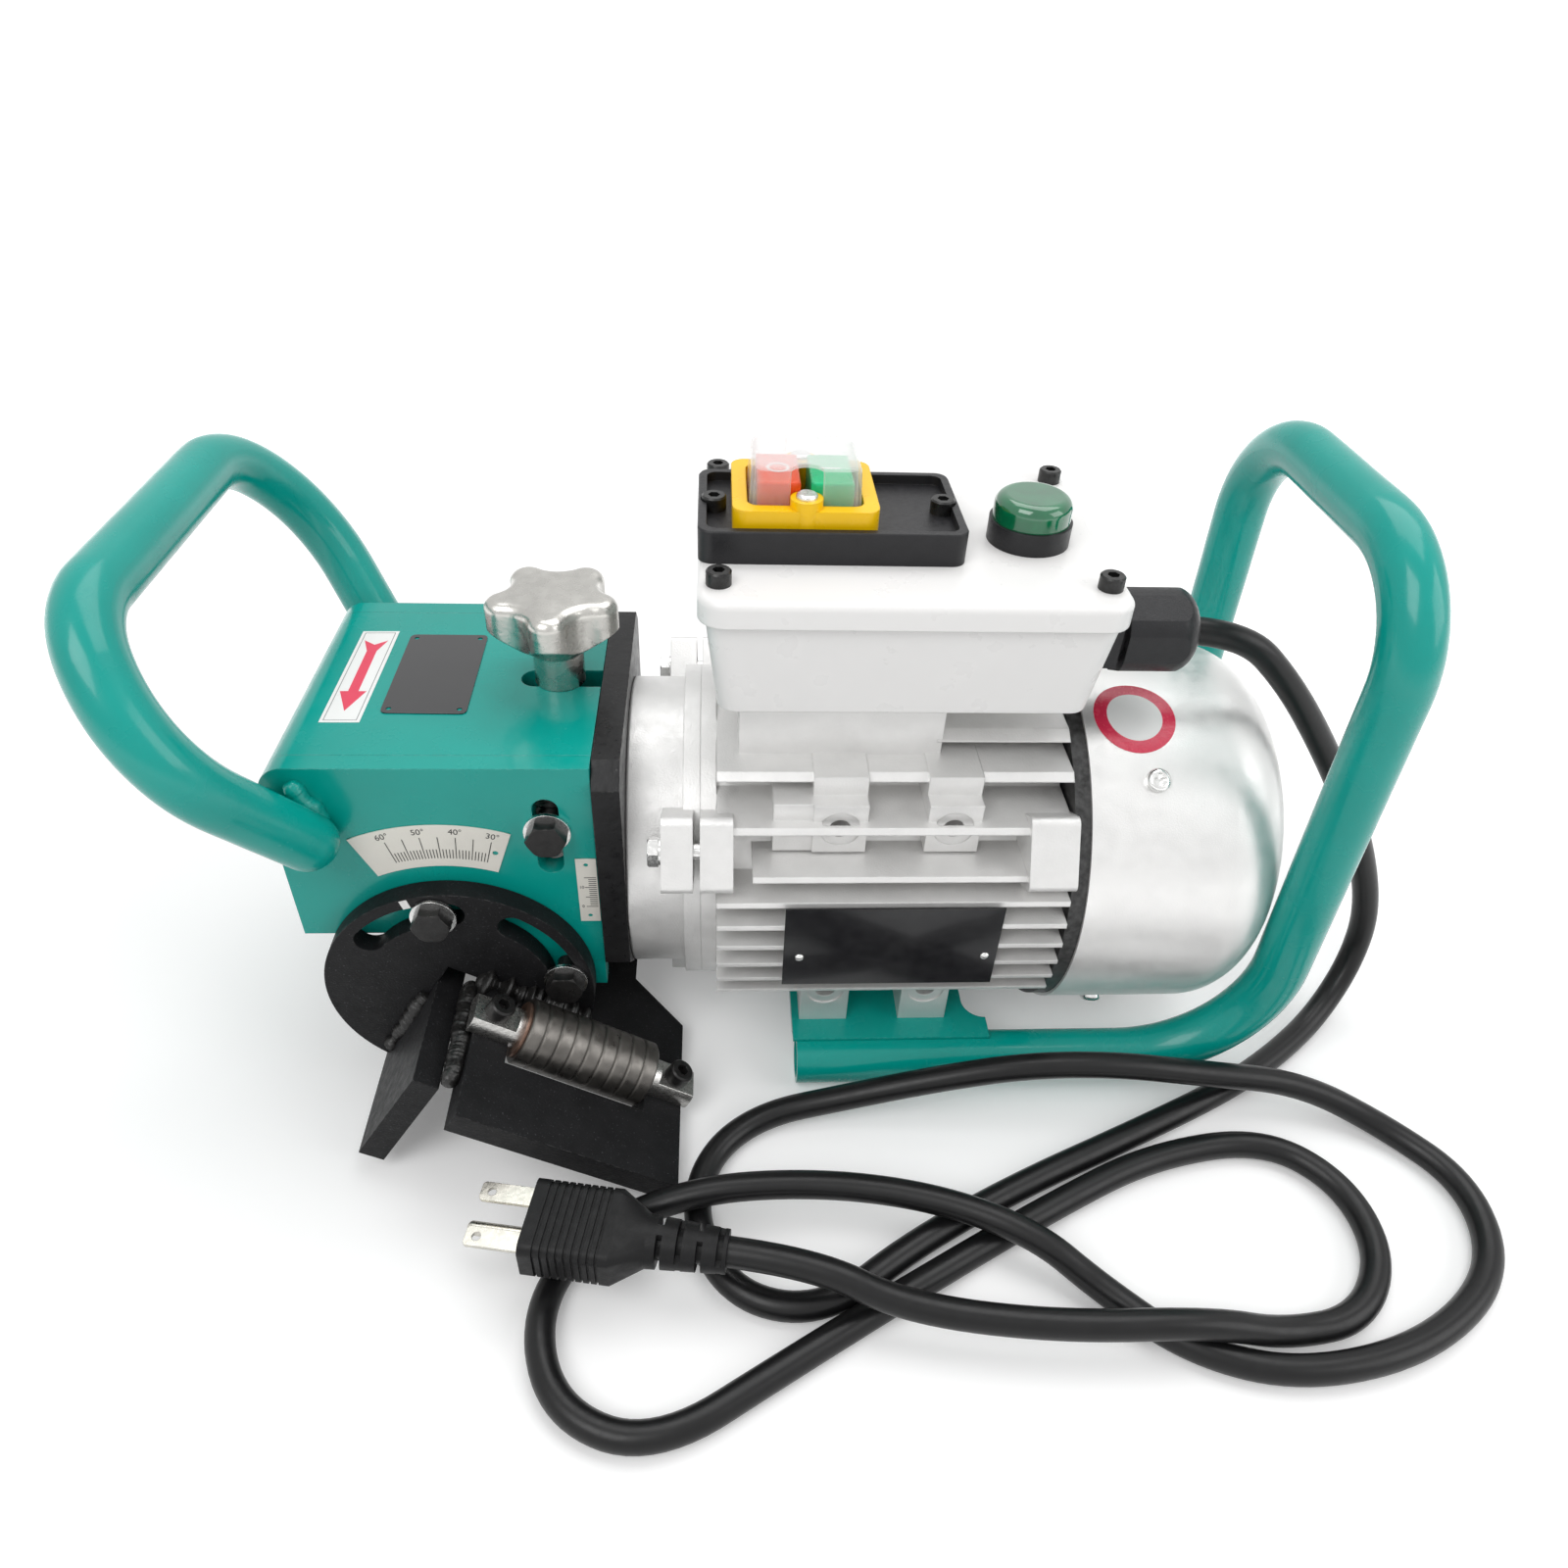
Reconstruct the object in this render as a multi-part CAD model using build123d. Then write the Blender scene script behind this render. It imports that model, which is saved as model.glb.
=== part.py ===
from build123d import *
import os
from math import atan, cos, degrees, hypot, pi, radians, sin, tan

# Edge beveling machine, in millimetres.
# Every piece is drawn about the motor: X runs from the motor's mounting face towards its fan,
# Z is measured from the motor's axis, Y from the middle plane, with the operator's side at -Y.
# The last step moves the whole machine to its origin, on the floor under its middle.

# General clearances
CUT = 2.0
FIT = 0.1
RUN = 0.05
GAP = 0.3

# Rear handle, one bent tube
TUBE_R = 10.5
TUBE_WALL = 2.5
RAIL_DROP = 74.0
RAIL_Y = 70.0
RAIL_START_X = 67.5
LEG_GAP = 6.5
LEG_LEAN = 5.5
GRIP_Z = 153.0
FOOT_BEND_R = 55.0
GRIP_BEND_R = 42.0

# Motor shaft and mounting face
SHAFT_R = 9.5
SHAFT_OUT = 40.0
SPIGOT_R = 40.0
SPIGOT_H = 3.0
FACE_SCREW_PCD = 100.0
FACE_SCREW_IN = 14.0

# Motor castings
NOSE_R = 60.0
NOSE_END_X = 21.5
RIM_R = 65.0
SPLIT_X = 28.0
RING_END_X = 34.0
BODY_R = 61.5
STATOR_R = 57.0
FINS_END_X = 165.0
SHIELD_END_X = 172.0
FIN_R = 79.0
FIN_TIP_T = 2.0
FIN_ROOT_T = 3.4
FIN_PITCH = 9.5
FIN_TOP_Z = 31.0
FIN_COUNT = 7
HIGH_FIN_Z = 61.0
MID_FIN_Z = 46.5
ROOF_FIN_Z = 70.0
TRAY_FIN_X0 = 47.0
TRAY_FIN_X1 = 152.0

# Foot pads on both sides and below
PAD_FACE = 59.5
PAD_Z = 44.0
PAD_HALF = 11.0
PAD_X1 = 79.0
PAD_X2 = 121.0
PAD_HALF_X = 10.0
PAD_WING = 14.5
PAD_HOLE_R = 4.0
PAD_HOLE_DEPTH = 15.0
PAD_FLOOR_Z = -62.0
PAD_STEP = 6.5
PAD_STEP_H = 8.0

# Pedestal under the control box
PEDESTAL_X0 = 42.0
PEDESTAL_X1 = 117.0
PEDESTAL_HALF = 38.0
WIRE_HOLE_R = 12.0

# Through bolts of the end shields
EAR_ANGLES = (30, 150, 270)
EAR_PCD_R = 72.0
EAR_HALF = 14.0
EAR_OUT = 9.0
EAR_FRONT_X0 = 14.0
EAR_FRONT_X1 = 25.5
EAR_FRAME_X1 = 40.0
EAR_REAR_X0 = 148.0
EAR_REAR_X1 = 166.0
EAR_FILLET = 3.0
REAR_BOLT_R = 67.0

# Bearings, rotor and fan
BEARING_BORE_R = 10.0
BEARING_R = 23.5
BEARING_W = 14.0
BEARING_FRONT_X = 8.0
BEARING_REAR_X = 156.0
SEAL_W = 5.0
SEAL_R = 16.0
CORE_X0 = 56.0
CORE_X1 = 134.0
CORE_BORE_R = 35.3
ROTOR_R = 35.0
ROTOR_RING_R = 29.8
ROTOR_SHAFT_R = 13.0
WINDING_L = 12.0
WINDING_R0 = 40.0
WINDING_R1 = 54.0
FAN_SEAT_R = 8.0
FAN_X0 = 180.0
FAN_HUB_L = 26.0
FAN_HUB_R = 17.0
FAN_R = 61.0
FAN_DISC_T = 3.0
FAN_BLADE_T = 2.5
FAN_BLADE_L = 30.0
FAN_BLADES = 7

# Fan cowl
COWL_R = 76.8
COWL_T = 1.2
COWL_END_X = 256.0
COWL_EDGE_R = 29.0
GRILLE_RINGS = (14.0, 24.0, 34.0, 44.0)
GRILLE_SLOT = 4.0
GRILLE_BAR = 7.0
COWL_SCREW_X = 197.0
COWL_SCREW_ANGLES = (50, 130, 230, 310)
LUG_T = 7.0
LUG_HALF = 9.0
LUG_END_X = 206.0

# Fasteners: thread radius, head radius or half width across flats, head height
M5_R, M5_HEAD_R, M5_HEAD_H = 2.5, 4.25, 5.0
M6_R, M6_HEAD_R, M6_HEAD_H = 3.0, 5.0, 6.0
M6_HEX_HALF, M6_HEX_H = 5.0, 4.0
M8_R, M8_HEX_HALF, M8_HEX_H = 4.0, 6.5, 5.3
PAN_R, PAN_H = 4.6, 3.2
WASHER_R = 8.5
WASHER_T = 1.6
SPRING_WASHER_T = 1.0
SOCKET_SHARE = 0.5
SOCKET_DEPTH_SHARE = 0.6

# Bracket between motor and rails
BRACKET_T = 5.0
BRACKET_X0 = 66.0
BRACKET_X1 = 140.0
BRACKET_FLARE_R = 9.0

# Black motor plate
PLATE_T = 10.0
PLATE_HALF_W = 60.0
PLATE_BOTTOM_Z = -39.0
PLATE_TOP_CHAMFER = 8.0
PLATE_LOW_CHAMFER = 14.0

# Guide housing
HOUSING_LEFT_X = -124.0
HOUSING_HALF_W = 57.5
HOUSING_TOP_Z = 70.0
HOUSING_WALL = 8.0
HOUSING_LOW_Z = -10.0
HOUSING_TOE_Z = -40.0
TOE_X0 = -58.0
TOE_X1 = -33.0
BEND_R = 10.0
KNOB_SLOT_X = -41.0
KNOB_SLOT_W = 11.4

# Depth drive: clamp bolts, cheeks, lift nut, screw, collar, star knob
CLAMP_X = -27.0
CLAMP_Z = 41.8
CLAMP_SLOT_W = 9.5
CLAMP_SLOT_Z0 = 21.5
CLAMP_SLOT_Z1 = 56.5
CHEEK_T = 8.0
CHEEK_LEFT_X = -45.0
CHEEK_Z0 = 24.0
CHEEK_Z1 = 55.0
NUT_LEFT_X = -38.0
NUT_HALF_W = 12.0
NUT_Z0 = 26.0
NUT_Z1 = 46.0
SCREW_X = -26.0
SCREW_R = 5.0
SCREW_LOW_Z = 27.5
COLLAR_R = 10.0
COLLAR_H = 8.0
KNOB_NECK_R = 9.6
KNOB_NECK_H = 18.0
KNOB_R = 25.0
KNOB_H = 38.0
KNOB_LOBES = 5
KNOB_WAVE = 7.0
KNOB_LOBE_R = 7.0
KNOB_EDGE_R = 4.0
KNOB_RIM_H = 10.0
KNOB_HEAD_DROP = 13.5
KNOB_TURN = 90.0

# V guide: its pivot, its tilt at rest and its two plates
PIVOT_X = -66.5
PIVOT_Z = -34.0
GUIDE_TILT = 32.0
GUIDE_T = 10.0
FENCE_L = 52.0
FENCE_HALF = 112.5
SUPPORT_U0 = 5.0
SUPPORT_BEYOND_ROLLER = 43.0
THROAT_HALF = 50.0
THROAT_U = 52.0
THROAT_V = -30.0
WAIST_U = 71.0
WAIST_Y = 35.0
SUPPORT_NOTCH_R = 6.0
DISC_R = 52.0
DISC_T = 8.5
DISC_SLOT_R = 42.0
DISC_SLOT_W = 11.0
DISC_SLOTS = ((88.0, 137.0), (5.7, 56.0))
DISC_BOLT_ANGLES = (96.0, 9.0)

# Roller stacks on the support plate
ROLLER_DISC_GAP = 6.0
ROLLER_V = 12.4
ROLLER_R = 13.0
ROLLER_BORE_R = 7.5
ROLLER_W = 6.0
ROLLER_COUNT = 9
ROLLER_U0 = 22.4
RACE_T = 2.2
PIN_U0 = 2.0
PIN_U1 = 97.0
PIN_TOP_FLAT = 4.6
PIN_FLAT_L0 = 17.0
PIN_FLAT_L1 = 16.0
PIN_SCREW_U0 = 10.5
PIN_SCREW_U1 = 88.5
WINDOW_MARGIN = 2.0
BRASS_W = 1.2

# Milling cutter and its holder
CUTTER_X0 = -92.0
CUTTER_X1 = -48.0
CUTTER_TIP_R = 31.5
CUTTER_BODY_R = 29.0
CUTTER_FLUTES = 4
CUTTER_ROWS = 3
INSERT_SIDE = 12.7
GULLET_OFFSET_SHARE = 0.7
INSERT_T = 4.0
HOLDER_R = 18.5
HOLDER_GAP_X = -4.0
HOLDER_FLANGE_R = 23.0
HOLDER_FLANGE_T = 5.0
ARBOR_R = 11.0
ARBOR_L = 20.0
CUTTER_POCKET_R = 16.0
CUTTER_POCKET_D = 14.0

# Front handle, one bent tube in a slanted plane
FRONT_LOOP_X = -114.3
FRONT_LOOP_Z = 54.8
FRONT_LOOP_TILT = 60.5
FRONT_END_S = -12.0
FRONT_END_OUT = 8.5
FRONT_WIDE_S = 50.8
FRONT_WIDE_OUT = 34.9
FRONT_GRIP_S = 89.4
FRONT_GRIP_OUT = 4.6
FRONT_BEND_R1 = 53.0
FRONT_BEND_R2 = 35.0

# Control box and lid
BOX_X0 = 30.0
BOX_X1 = 168.0
BOX_HALF_W = 55.0
BOX_DRAFT = 4.0
BOX_BOTTOM_Z = 90.0
BOX_RIM_Z = 125.0
BOX_WALL = 3.0
BOX_CORNER_R = 7.0
GASKET_T = 1.0
LID_OVERHANG = 2.5
LID_H = 9.0
LID_WALL = 3.0
LID_EDGE_R = 2.5
LID_SCREW_IN = 4.5
LID_SCREW_Y = 43.4
LID_HOLE_D = 13.5
POST_R = 5.5

# Switch on the lid
SWITCH_X0 = 27.5
SWITCH_X1 = 118.0
SWITCH_Y = -4.0
SWITCH_HALF_W = 26.0
SWITCH_H = 11.5
SWITCH_RIM = 3.0
SWITCH_RIM_H = 3.5
SWITCH_CORNER_R = 5.0
FRAME_X0 = 39.0
FRAME_X1 = 88.0
FRAME_HALF_W = 25.0
FRAME_H = 9.0
FRAME_BAND = 5.0
FRAME_TAB_R = 5.5
FRAME_TAB_RISE = 3.0
CAP_TOP_SHARE = 0.94
CAP_H = 15.0
CAP_T = 1.2
BUTTON_L = 14.5
BUTTON_W = 25.0
BUTTON_H = 9.0
BUTTON_GAP = 3.4
BUTTON_STEM_H = 10.0
BUTTON_TRAVEL = 3.0
BLOCK_DROP = 22.0
BLOCK_MARGIN = 1.5
SWITCH_SCREW_IN = 5.5

# Pilot lamp
LAMP_X = 143.5
LAMP_Y = -8.0
LAMP_R = 14.5
LAMP_RING_H = 8.0
LAMP_LENS_R = 13.6
LAMP_LENS_H = 9.0
LAMP_LENS_EDGE_R = 4.0
LAMP_STEM_R = 10.5
LAMP_STEM_L = 18.0

# Cable gland
GLAND_Y = -20.0
GLAND_Z = 106.0
GLAND_BOSS_R = 17.0
GLAND_SEAT_X = 169.5
GLAND_HEX_HALF = 14.0
GLAND_HEX_L = 7.0
GLAND_THREAD_R = 11.5
GLAND_NUT_HALF = 15.0
GLAND_NUT_L = 28.0
GLAND_DOME_R = 9.0
GLAND_MOUTH_L = 8.0

# Bare nameplate of the motor
LABEL_T = 0.5
NAMEPLATE_X0 = 59.0
NAMEPLATE_X1 = 140.0
NAMEPLATE_Z0 = -17.0
NAMEPLATE_Z1 = 23.0

# Cord
CORD_R = 5.25
CORD_BEND_SHARE = 0.45

# Plug: a flat body with ribs, a strain relief, two flat blades and a round earth pin
PLUG_X = -31.0
PLUG_Y = -152.5
PLUG_Z = -58.3
PLUG_TURN = -9.5
PLUG_W = 29.0
PLUG_H = 19.0
PLUG_BLOCK_L = 31.0
PLUG_NECK_L = 11.0
PLUG_L = 70.0
PLUG_CORNER_R = 4.0
PLUG_RIBS = 9
PLUG_RIB_START = 5.0
PLUG_RIB_PITCH = 2.7
PLUG_RIB_W = 1.0
PLUG_RIB_D = 0.7
RELIEF_R0 = 9.0
RELIEF_R1 = 7.4
RELIEF_RINGS = 4
RELIEF_SLOT = 2.0
RELIEF_SLOT_D = 2.2
BLADE_SPACING = 17.0
BLADE_W = 7.0
BLADE_T = 1.6
BLADE_L = 20.0
BLADE_HOLE_R = 1.6
BLADE_RISE = 3.2
EARTH_PIN_R = 2.5
EARTH_PIN_L = 23.5
EARTH_PIN_DROP = 7.0

# Route of the cord on and above the floor: X, Y and how high its middle is over that of a cord on
# the floor. It hangs from the gland, loops over itself and ends in the plug.
CORD_ROUTE = [
    (226, -20, 185.25), (251, -21, 163), (277, -23, 130), (302, -25, 93), (322, -27, 51),
    (323, -32, 21), (306, -48, 2.2), (281, -67, 0), (250, -86, 0), (203, -107, 0), (152, -128.5, 0),
    (106, -152, 0), (72.5, -176, 0), (40.5, -170, 0), (25, -141, 0), (30.5, -113, 0), (52, -95, 1),
    (86, -91, 6), (122, -91, 17), (158, -91, 25), (195, -91, 25), (234, -91, 18), (276, -91, 11),
    (309, -104, 0), (332, -132, 0), (324, -168, 0), (285, -194, 0), (235, -203, 0), (198, -193, 0),
    (172, -170, 0.5), (150, -155, 11.5), (116, -140, 12), (72, -132.5, 11.8), (24, -135, 12.3),
    (-15, -146, 0.3), (-29.5, -174, 0), (-19, -206, 0), (14, -218.5, 0), (58, -193.5, 0),
    (112, -164, 0), (165, -136.5, 0), (208, -117, 0), (256, -110, 0), (280.5, -130, 0),
    (283, -160, 0), (264, -184, 0), (234, -188.5, 0), (205, -189, 11.5), (150, -189, 11.8),
    (98, -181, 12.3),
]

# Derived places
FLOOR_Z = -(RAIL_DROP + TUBE_R)
HOUSING_RIGHT_X = -PLATE_T - GAP
INNER_HALF_W = HOUSING_HALF_W - HOUSING_WALL
ROLLER_Y = HOUSING_HALF_W + DISC_T + ROLLER_DISC_GAP + ROLLER_R
SUPPORT_HALF = ROLLER_Y + SUPPORT_BEYOND_ROLLER
FRONT_END_Y = HOUSING_HALF_W + FRONT_END_OUT
FRONT_WIDE_Y = HOUSING_HALF_W + FRONT_WIDE_OUT
FRONT_GRIP_Y = HOUSING_HALF_W + FRONT_GRIP_OUT
SUPPORT_L = (PIVOT_Z - FLOOR_Z) / sin(radians(GUIDE_TILT))
LID_Z0 = BOX_RIM_Z + GASKET_T
LID_TOP_Z = LID_Z0 + LID_H
LEAN_ANGLE = atan(LEG_LEAN / (GRIP_Z + RAIL_DROP))
LEG_FOOT_X = COWL_END_X + LEG_GAP
FOOT_BEND_X = LEG_FOOT_X - FOOT_BEND_R * (1 + sin(LEAN_ANGLE)) / cos(LEAN_ANGLE)
REAR_MOST_X = FOOT_BEND_X + FOOT_BEND_R + TUBE_R
FRONT_MOST_X = FRONT_LOOP_X - FRONT_GRIP_S * cos(radians(FRONT_LOOP_TILT)) - TUBE_R
MIDDLE_X = (FRONT_MOST_X + REAR_MOST_X) / 2


def block(x0, x1, y0, y1, z0, z1):
    """Box between two corners."""
    middle = Pos((x0 + x1) / 2, (y0 + y1) / 2, (z0 + z1) / 2)
    return middle * Box(x1 - x0, y1 - y0, z1 - z0)


def rod_x(radius, x0, x1, y=0, z=0):
    """Cylinder along X."""
    return Pos((x0 + x1) / 2, y, z) * Rot(0, 90, 0) * Cylinder(radius, x1 - x0)


def rod_y(radius, y0, y1, x=0, z=0):
    """Cylinder along Y."""
    return Pos(x, (y0 + y1) / 2, z) * Rot(90, 0, 0) * Cylinder(radius, y1 - y0)


def rod_z(radius, z0, z1, x=0, y=0):
    """Cylinder along Z."""
    return Pos(x, y, (z0 + z1) / 2) * Cylinder(radius, z1 - z0)


def slab_x(points, x0, x1):
    """Outline of (y, z) points, made into a solid from x0 to x1."""
    plane = Plane(origin=(x0, 0, 0), x_dir=(0, 1, 0), z_dir=(1, 0, 0))
    return extrude(plane * make_face(Polyline(*points, close=True)), amount=x1 - x0)


def slab_y(points, y0, y1):
    """Outline of (x, z) points, made into a solid from y0 to y1."""
    plane = Plane(origin=(0, y1, 0), x_dir=(1, 0, 0), z_dir=(0, -1, 0))
    return extrude(plane * make_face(Polyline(*points, close=True)), amount=y1 - y0)


def rounded_block(x0, x1, y0, y1, z0, z1, corner_r):
    """Box with rounded upright corners."""
    outline = RectangleRounded(x1 - x0, y1 - y0, corner_r)
    return Pos((x0 + x1) / 2, (y0 + y1) / 2, z0) * extrude(outline, amount=z1 - z0)


def polar(radius, angle):
    """Point at a radius and an angle in degrees."""
    return radius * cos(radians(angle)), radius * sin(radians(angle))


def both_sides(piece):
    """A piece and its mirror image across the middle plane."""
    return [piece, piece.mirror(Plane.XZ)]


def group(pieces):
    """Separate solids kept in one node."""
    return Compound([solid for piece in pieces for solid in piece.solids()])


def socket_screw(thread_r, head_r, head_h, length):
    """Cap screw: head above Z = 0 with a hexagon socket, shank below."""
    head = rod_z(head_r, 0, head_h)
    head = chamfer(head.edges().group_by(Axis.Z)[-1], head_r / 8)
    socket = Pos(0, 0, head_h * (1 - SOCKET_DEPTH_SHARE))
    head -= socket * extrude(RegularPolygon(head_r * SOCKET_SHARE, 6), amount=head_h)
    return head + rod_z(thread_r, -length, 0)


def hex_bolt(thread_r, half_flats, head_h, length):
    """Hexagon bolt: head above Z = 0, shank below."""
    corner_r = half_flats / cos(pi / 6)
    head = extrude(RegularPolygon(corner_r, 6), amount=head_h)
    cap = Pos(0, 0, head_h / 2) * Cone(corner_r + head_h, corner_r * 0.9, head_h)
    return (head & cap) + rod_z(thread_r, -length, 0)


def pan_screw(thread_r, length):
    """Pan-head screw with a cross recess: head above Z = 0, shank below."""
    head = rod_z(PAN_R, 0, PAN_H)
    head = fillet(head.edges().group_by(Axis.Z)[-1], PAN_H * 0.6)
    arm = Box(PAN_R, PAN_R / 4, PAN_H)
    recess = Pos(0, 0, PAN_H) * (arm + Rot(0, 0, 90) * arm)
    return head - recess + rod_z(thread_r, -length, 0)


def washer(inner_r, outer_r, thickness):
    """Flat washer that stands on Z = 0."""
    return rod_z(outer_r, 0, thickness) - rod_z(inner_r, -CUT, thickness + CUT)


def guide_place():
    """Frame of the V guide: X runs down the support plate, Z away from its working face."""
    return Pos(PIVOT_X, 0, PIVOT_Z) * Rot(0, GUIDE_TILT, 0)


def face_screw_places():
    """Four places on the screw circle of the motor's mounting face."""
    return [polar(FACE_SCREW_PCD / 2, 45 + 90 * index) for index in range(4)]


def motor_plate():
    """Black plate between motor and housing, with its corners cut off."""
    half, low, high = PLATE_HALF_W, PLATE_BOTTOM_Z, HOUSING_TOP_Z
    top, toe = PLATE_TOP_CHAMFER, PLATE_LOW_CHAMFER
    right_side = [(half, low + toe), (half, high - top), (half - top, high)]
    left_side = [(-half + top, high), (-half, high - top), (-half, low + toe)]
    outline = [(half - toe, low)] + right_side + left_side + [(-half + toe, low)]
    plate = slab_x(outline, -PLATE_T, 0)
    plate -= rod_x(SPIGOT_R + FIT, -PLATE_T - CUT, CUT)
    for y, z in face_screw_places():
        plate -= rod_x(M6_R + FIT, -PLATE_T - CUT, CUT, y, z)
        plate -= rod_x(M6_HEAD_R + GAP, -PLATE_T - CUT, -PLATE_T + M6_HEAD_H, y, z)
    return plate


def plate_bolts():
    """Screws that hold the plate to the motor's face."""
    length = PLATE_T - M6_HEAD_H + FACE_SCREW_IN
    screw = Rot(0, -90, 0) * socket_screw(M6_R, M6_HEAD_R, M6_HEAD_H, length)
    seat_x = -PLATE_T + M6_HEAD_H
    return group([Pos(seat_x, y, z) * screw for y, z in face_screw_places()])


def guide_cheeks():
    """Two plates on the motor plate that slide inside the housing and take the clamp bolts."""
    outer = INNER_HALF_W - GAP
    cheek = block(CHEEK_LEFT_X, -PLATE_T, -outer, CHEEK_T - outer, CHEEK_Z0, CHEEK_Z1)
    cheek = chamfer(cheek.edges().filter_by(Axis.Y).group_by(Axis.X)[0], CHEEK_T / 4)
    cheek -= rod_y(M8_R + FIT, -outer - CUT, CHEEK_T - outer + CUT, CLAMP_X, CLAMP_Z)
    return group(both_sides(cheek))


def lift_nut():
    """Block on the motor plate that the depth screw turns in."""
    nut = block(NUT_LEFT_X, -PLATE_T, -NUT_HALF_W, NUT_HALF_W, NUT_Z0, NUT_Z1)
    nut = fillet(nut.edges().filter_by(Axis.Z).group_by(Axis.X)[0], NUT_HALF_W / 3)
    return nut - rod_z(SCREW_R + RUN, NUT_Z0 - CUT, NUT_Z1 + CUT, SCREW_X)


def ears(x0, x1):
    """Lugs around a casting for the through bolts."""
    lugs = []
    for angle in EAR_ANGLES:
        lug = block(x0, x1, -EAR_HALF, EAR_HALF, STATOR_R + CUT, EAR_PCD_R + EAR_OUT)
        lug = fillet(lug.edges().filter_by(Axis.X).group_by(Axis.Z)[-1], EAR_FILLET)
        lugs.append(Rot(angle - 90, 0, 0) * lug)
    return lugs


def front_end_shield():
    """Cast front shield: nose, rim, bearing boss, spigot and three ears."""
    shield = rod_x(NOSE_R, 0, NOSE_END_X)
    shield = fillet(shield.edges().group_by(Axis.X)[0], FIN_TIP_T / 2)
    shield += rod_x(RIM_R, NOSE_END_X, SPLIT_X)
    shield += rod_x(SPIGOT_R, -SPIGOT_H, 0)
    shield += rod_x(STATOR_R - FIT, SPLIT_X, RING_END_X)
    hollow_x = BEARING_FRONT_X + HOUSING_WALL / 2
    wall = HOUSING_WALL
    hollow = rod_x(STATOR_R - wall, FACE_SCREW_IN + FIT, RING_END_X + CUT)
    hollow -= rod_x(BEARING_R + wall, 0, RING_END_X + CUT)
    shield -= hollow
    shield -= rod_x(BEARING_R + wall + CUT, BEARING_FRONT_X + BEARING_W, RING_END_X + CUT)
    shield -= rod_x(BEARING_R + FIT, BEARING_FRONT_X, RING_END_X + CUT)
    shield -= rod_x(SEAL_R + FIT, -SPIGOT_H - CUT, hollow_x)
    for ear in ears(EAR_FRONT_X0, EAR_FRONT_X1):
        shield += ear
    shield -= rod_x(STATOR_R - wall, FACE_SCREW_IN + FIT, RING_END_X + CUT) - rod_x(
        BEARING_R + wall, 0, RING_END_X + CUT
    )
    for angle in EAR_ANGLES:
        y, z = polar(EAR_PCD_R, angle)
        shield -= rod_x(M6_R + FIT, EAR_FRONT_X0 - CUT, SPLIT_X + CUT, y, z)
    for y, z in face_screw_places():
        shield -= rod_x(M6_R + FIT, -CUT, FACE_SCREW_IN, y, z)
    return shield


def fin(z, x0, x1):
    """Pair of horizontal fins at one height, thicker at the root."""
    tip, root = FIN_TIP_T / 2, FIN_ROOT_T / 2
    upper = [(-FIN_R, z + tip), (0, z + root), (FIN_R, z + tip)]
    lower = [(FIN_R, z - tip), (0, z - root), (-FIN_R, z - tip)]
    return slab_x(upper + lower, x0, x1)


def foot_pads():
    """Cast pads for bolt-on feet at the four corners, and their upper steps."""
    pads = []
    inner = PAD_Z - PAD_HALF
    for middle_x in (PAD_X1, PAD_X2):
        x0, x1 = middle_x - PAD_HALF_X, middle_x + PAD_HALF_X
        pads.append(block(x0, x1, -PAD_FACE, -inner, inner, PAD_Z + PAD_HALF))
        step_z = PAD_Z + PAD_HALF + PAD_STEP_H
        pads.append(block(x0, x1, PAD_STEP - PAD_FACE, -inner, inner, step_z))
        pads.append(block(x0, x1, -PAD_FACE, -inner, PAD_FLOOR_Z, -inner))
    wing_x = PAD_X1 - PAD_HALF_X
    pads.append(block(wing_x - PAD_WING, wing_x, FIN_TIP_T / 2 - PAD_FACE, -inner, inner, PAD_Z + PAD_HALF))
    return pads


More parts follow.
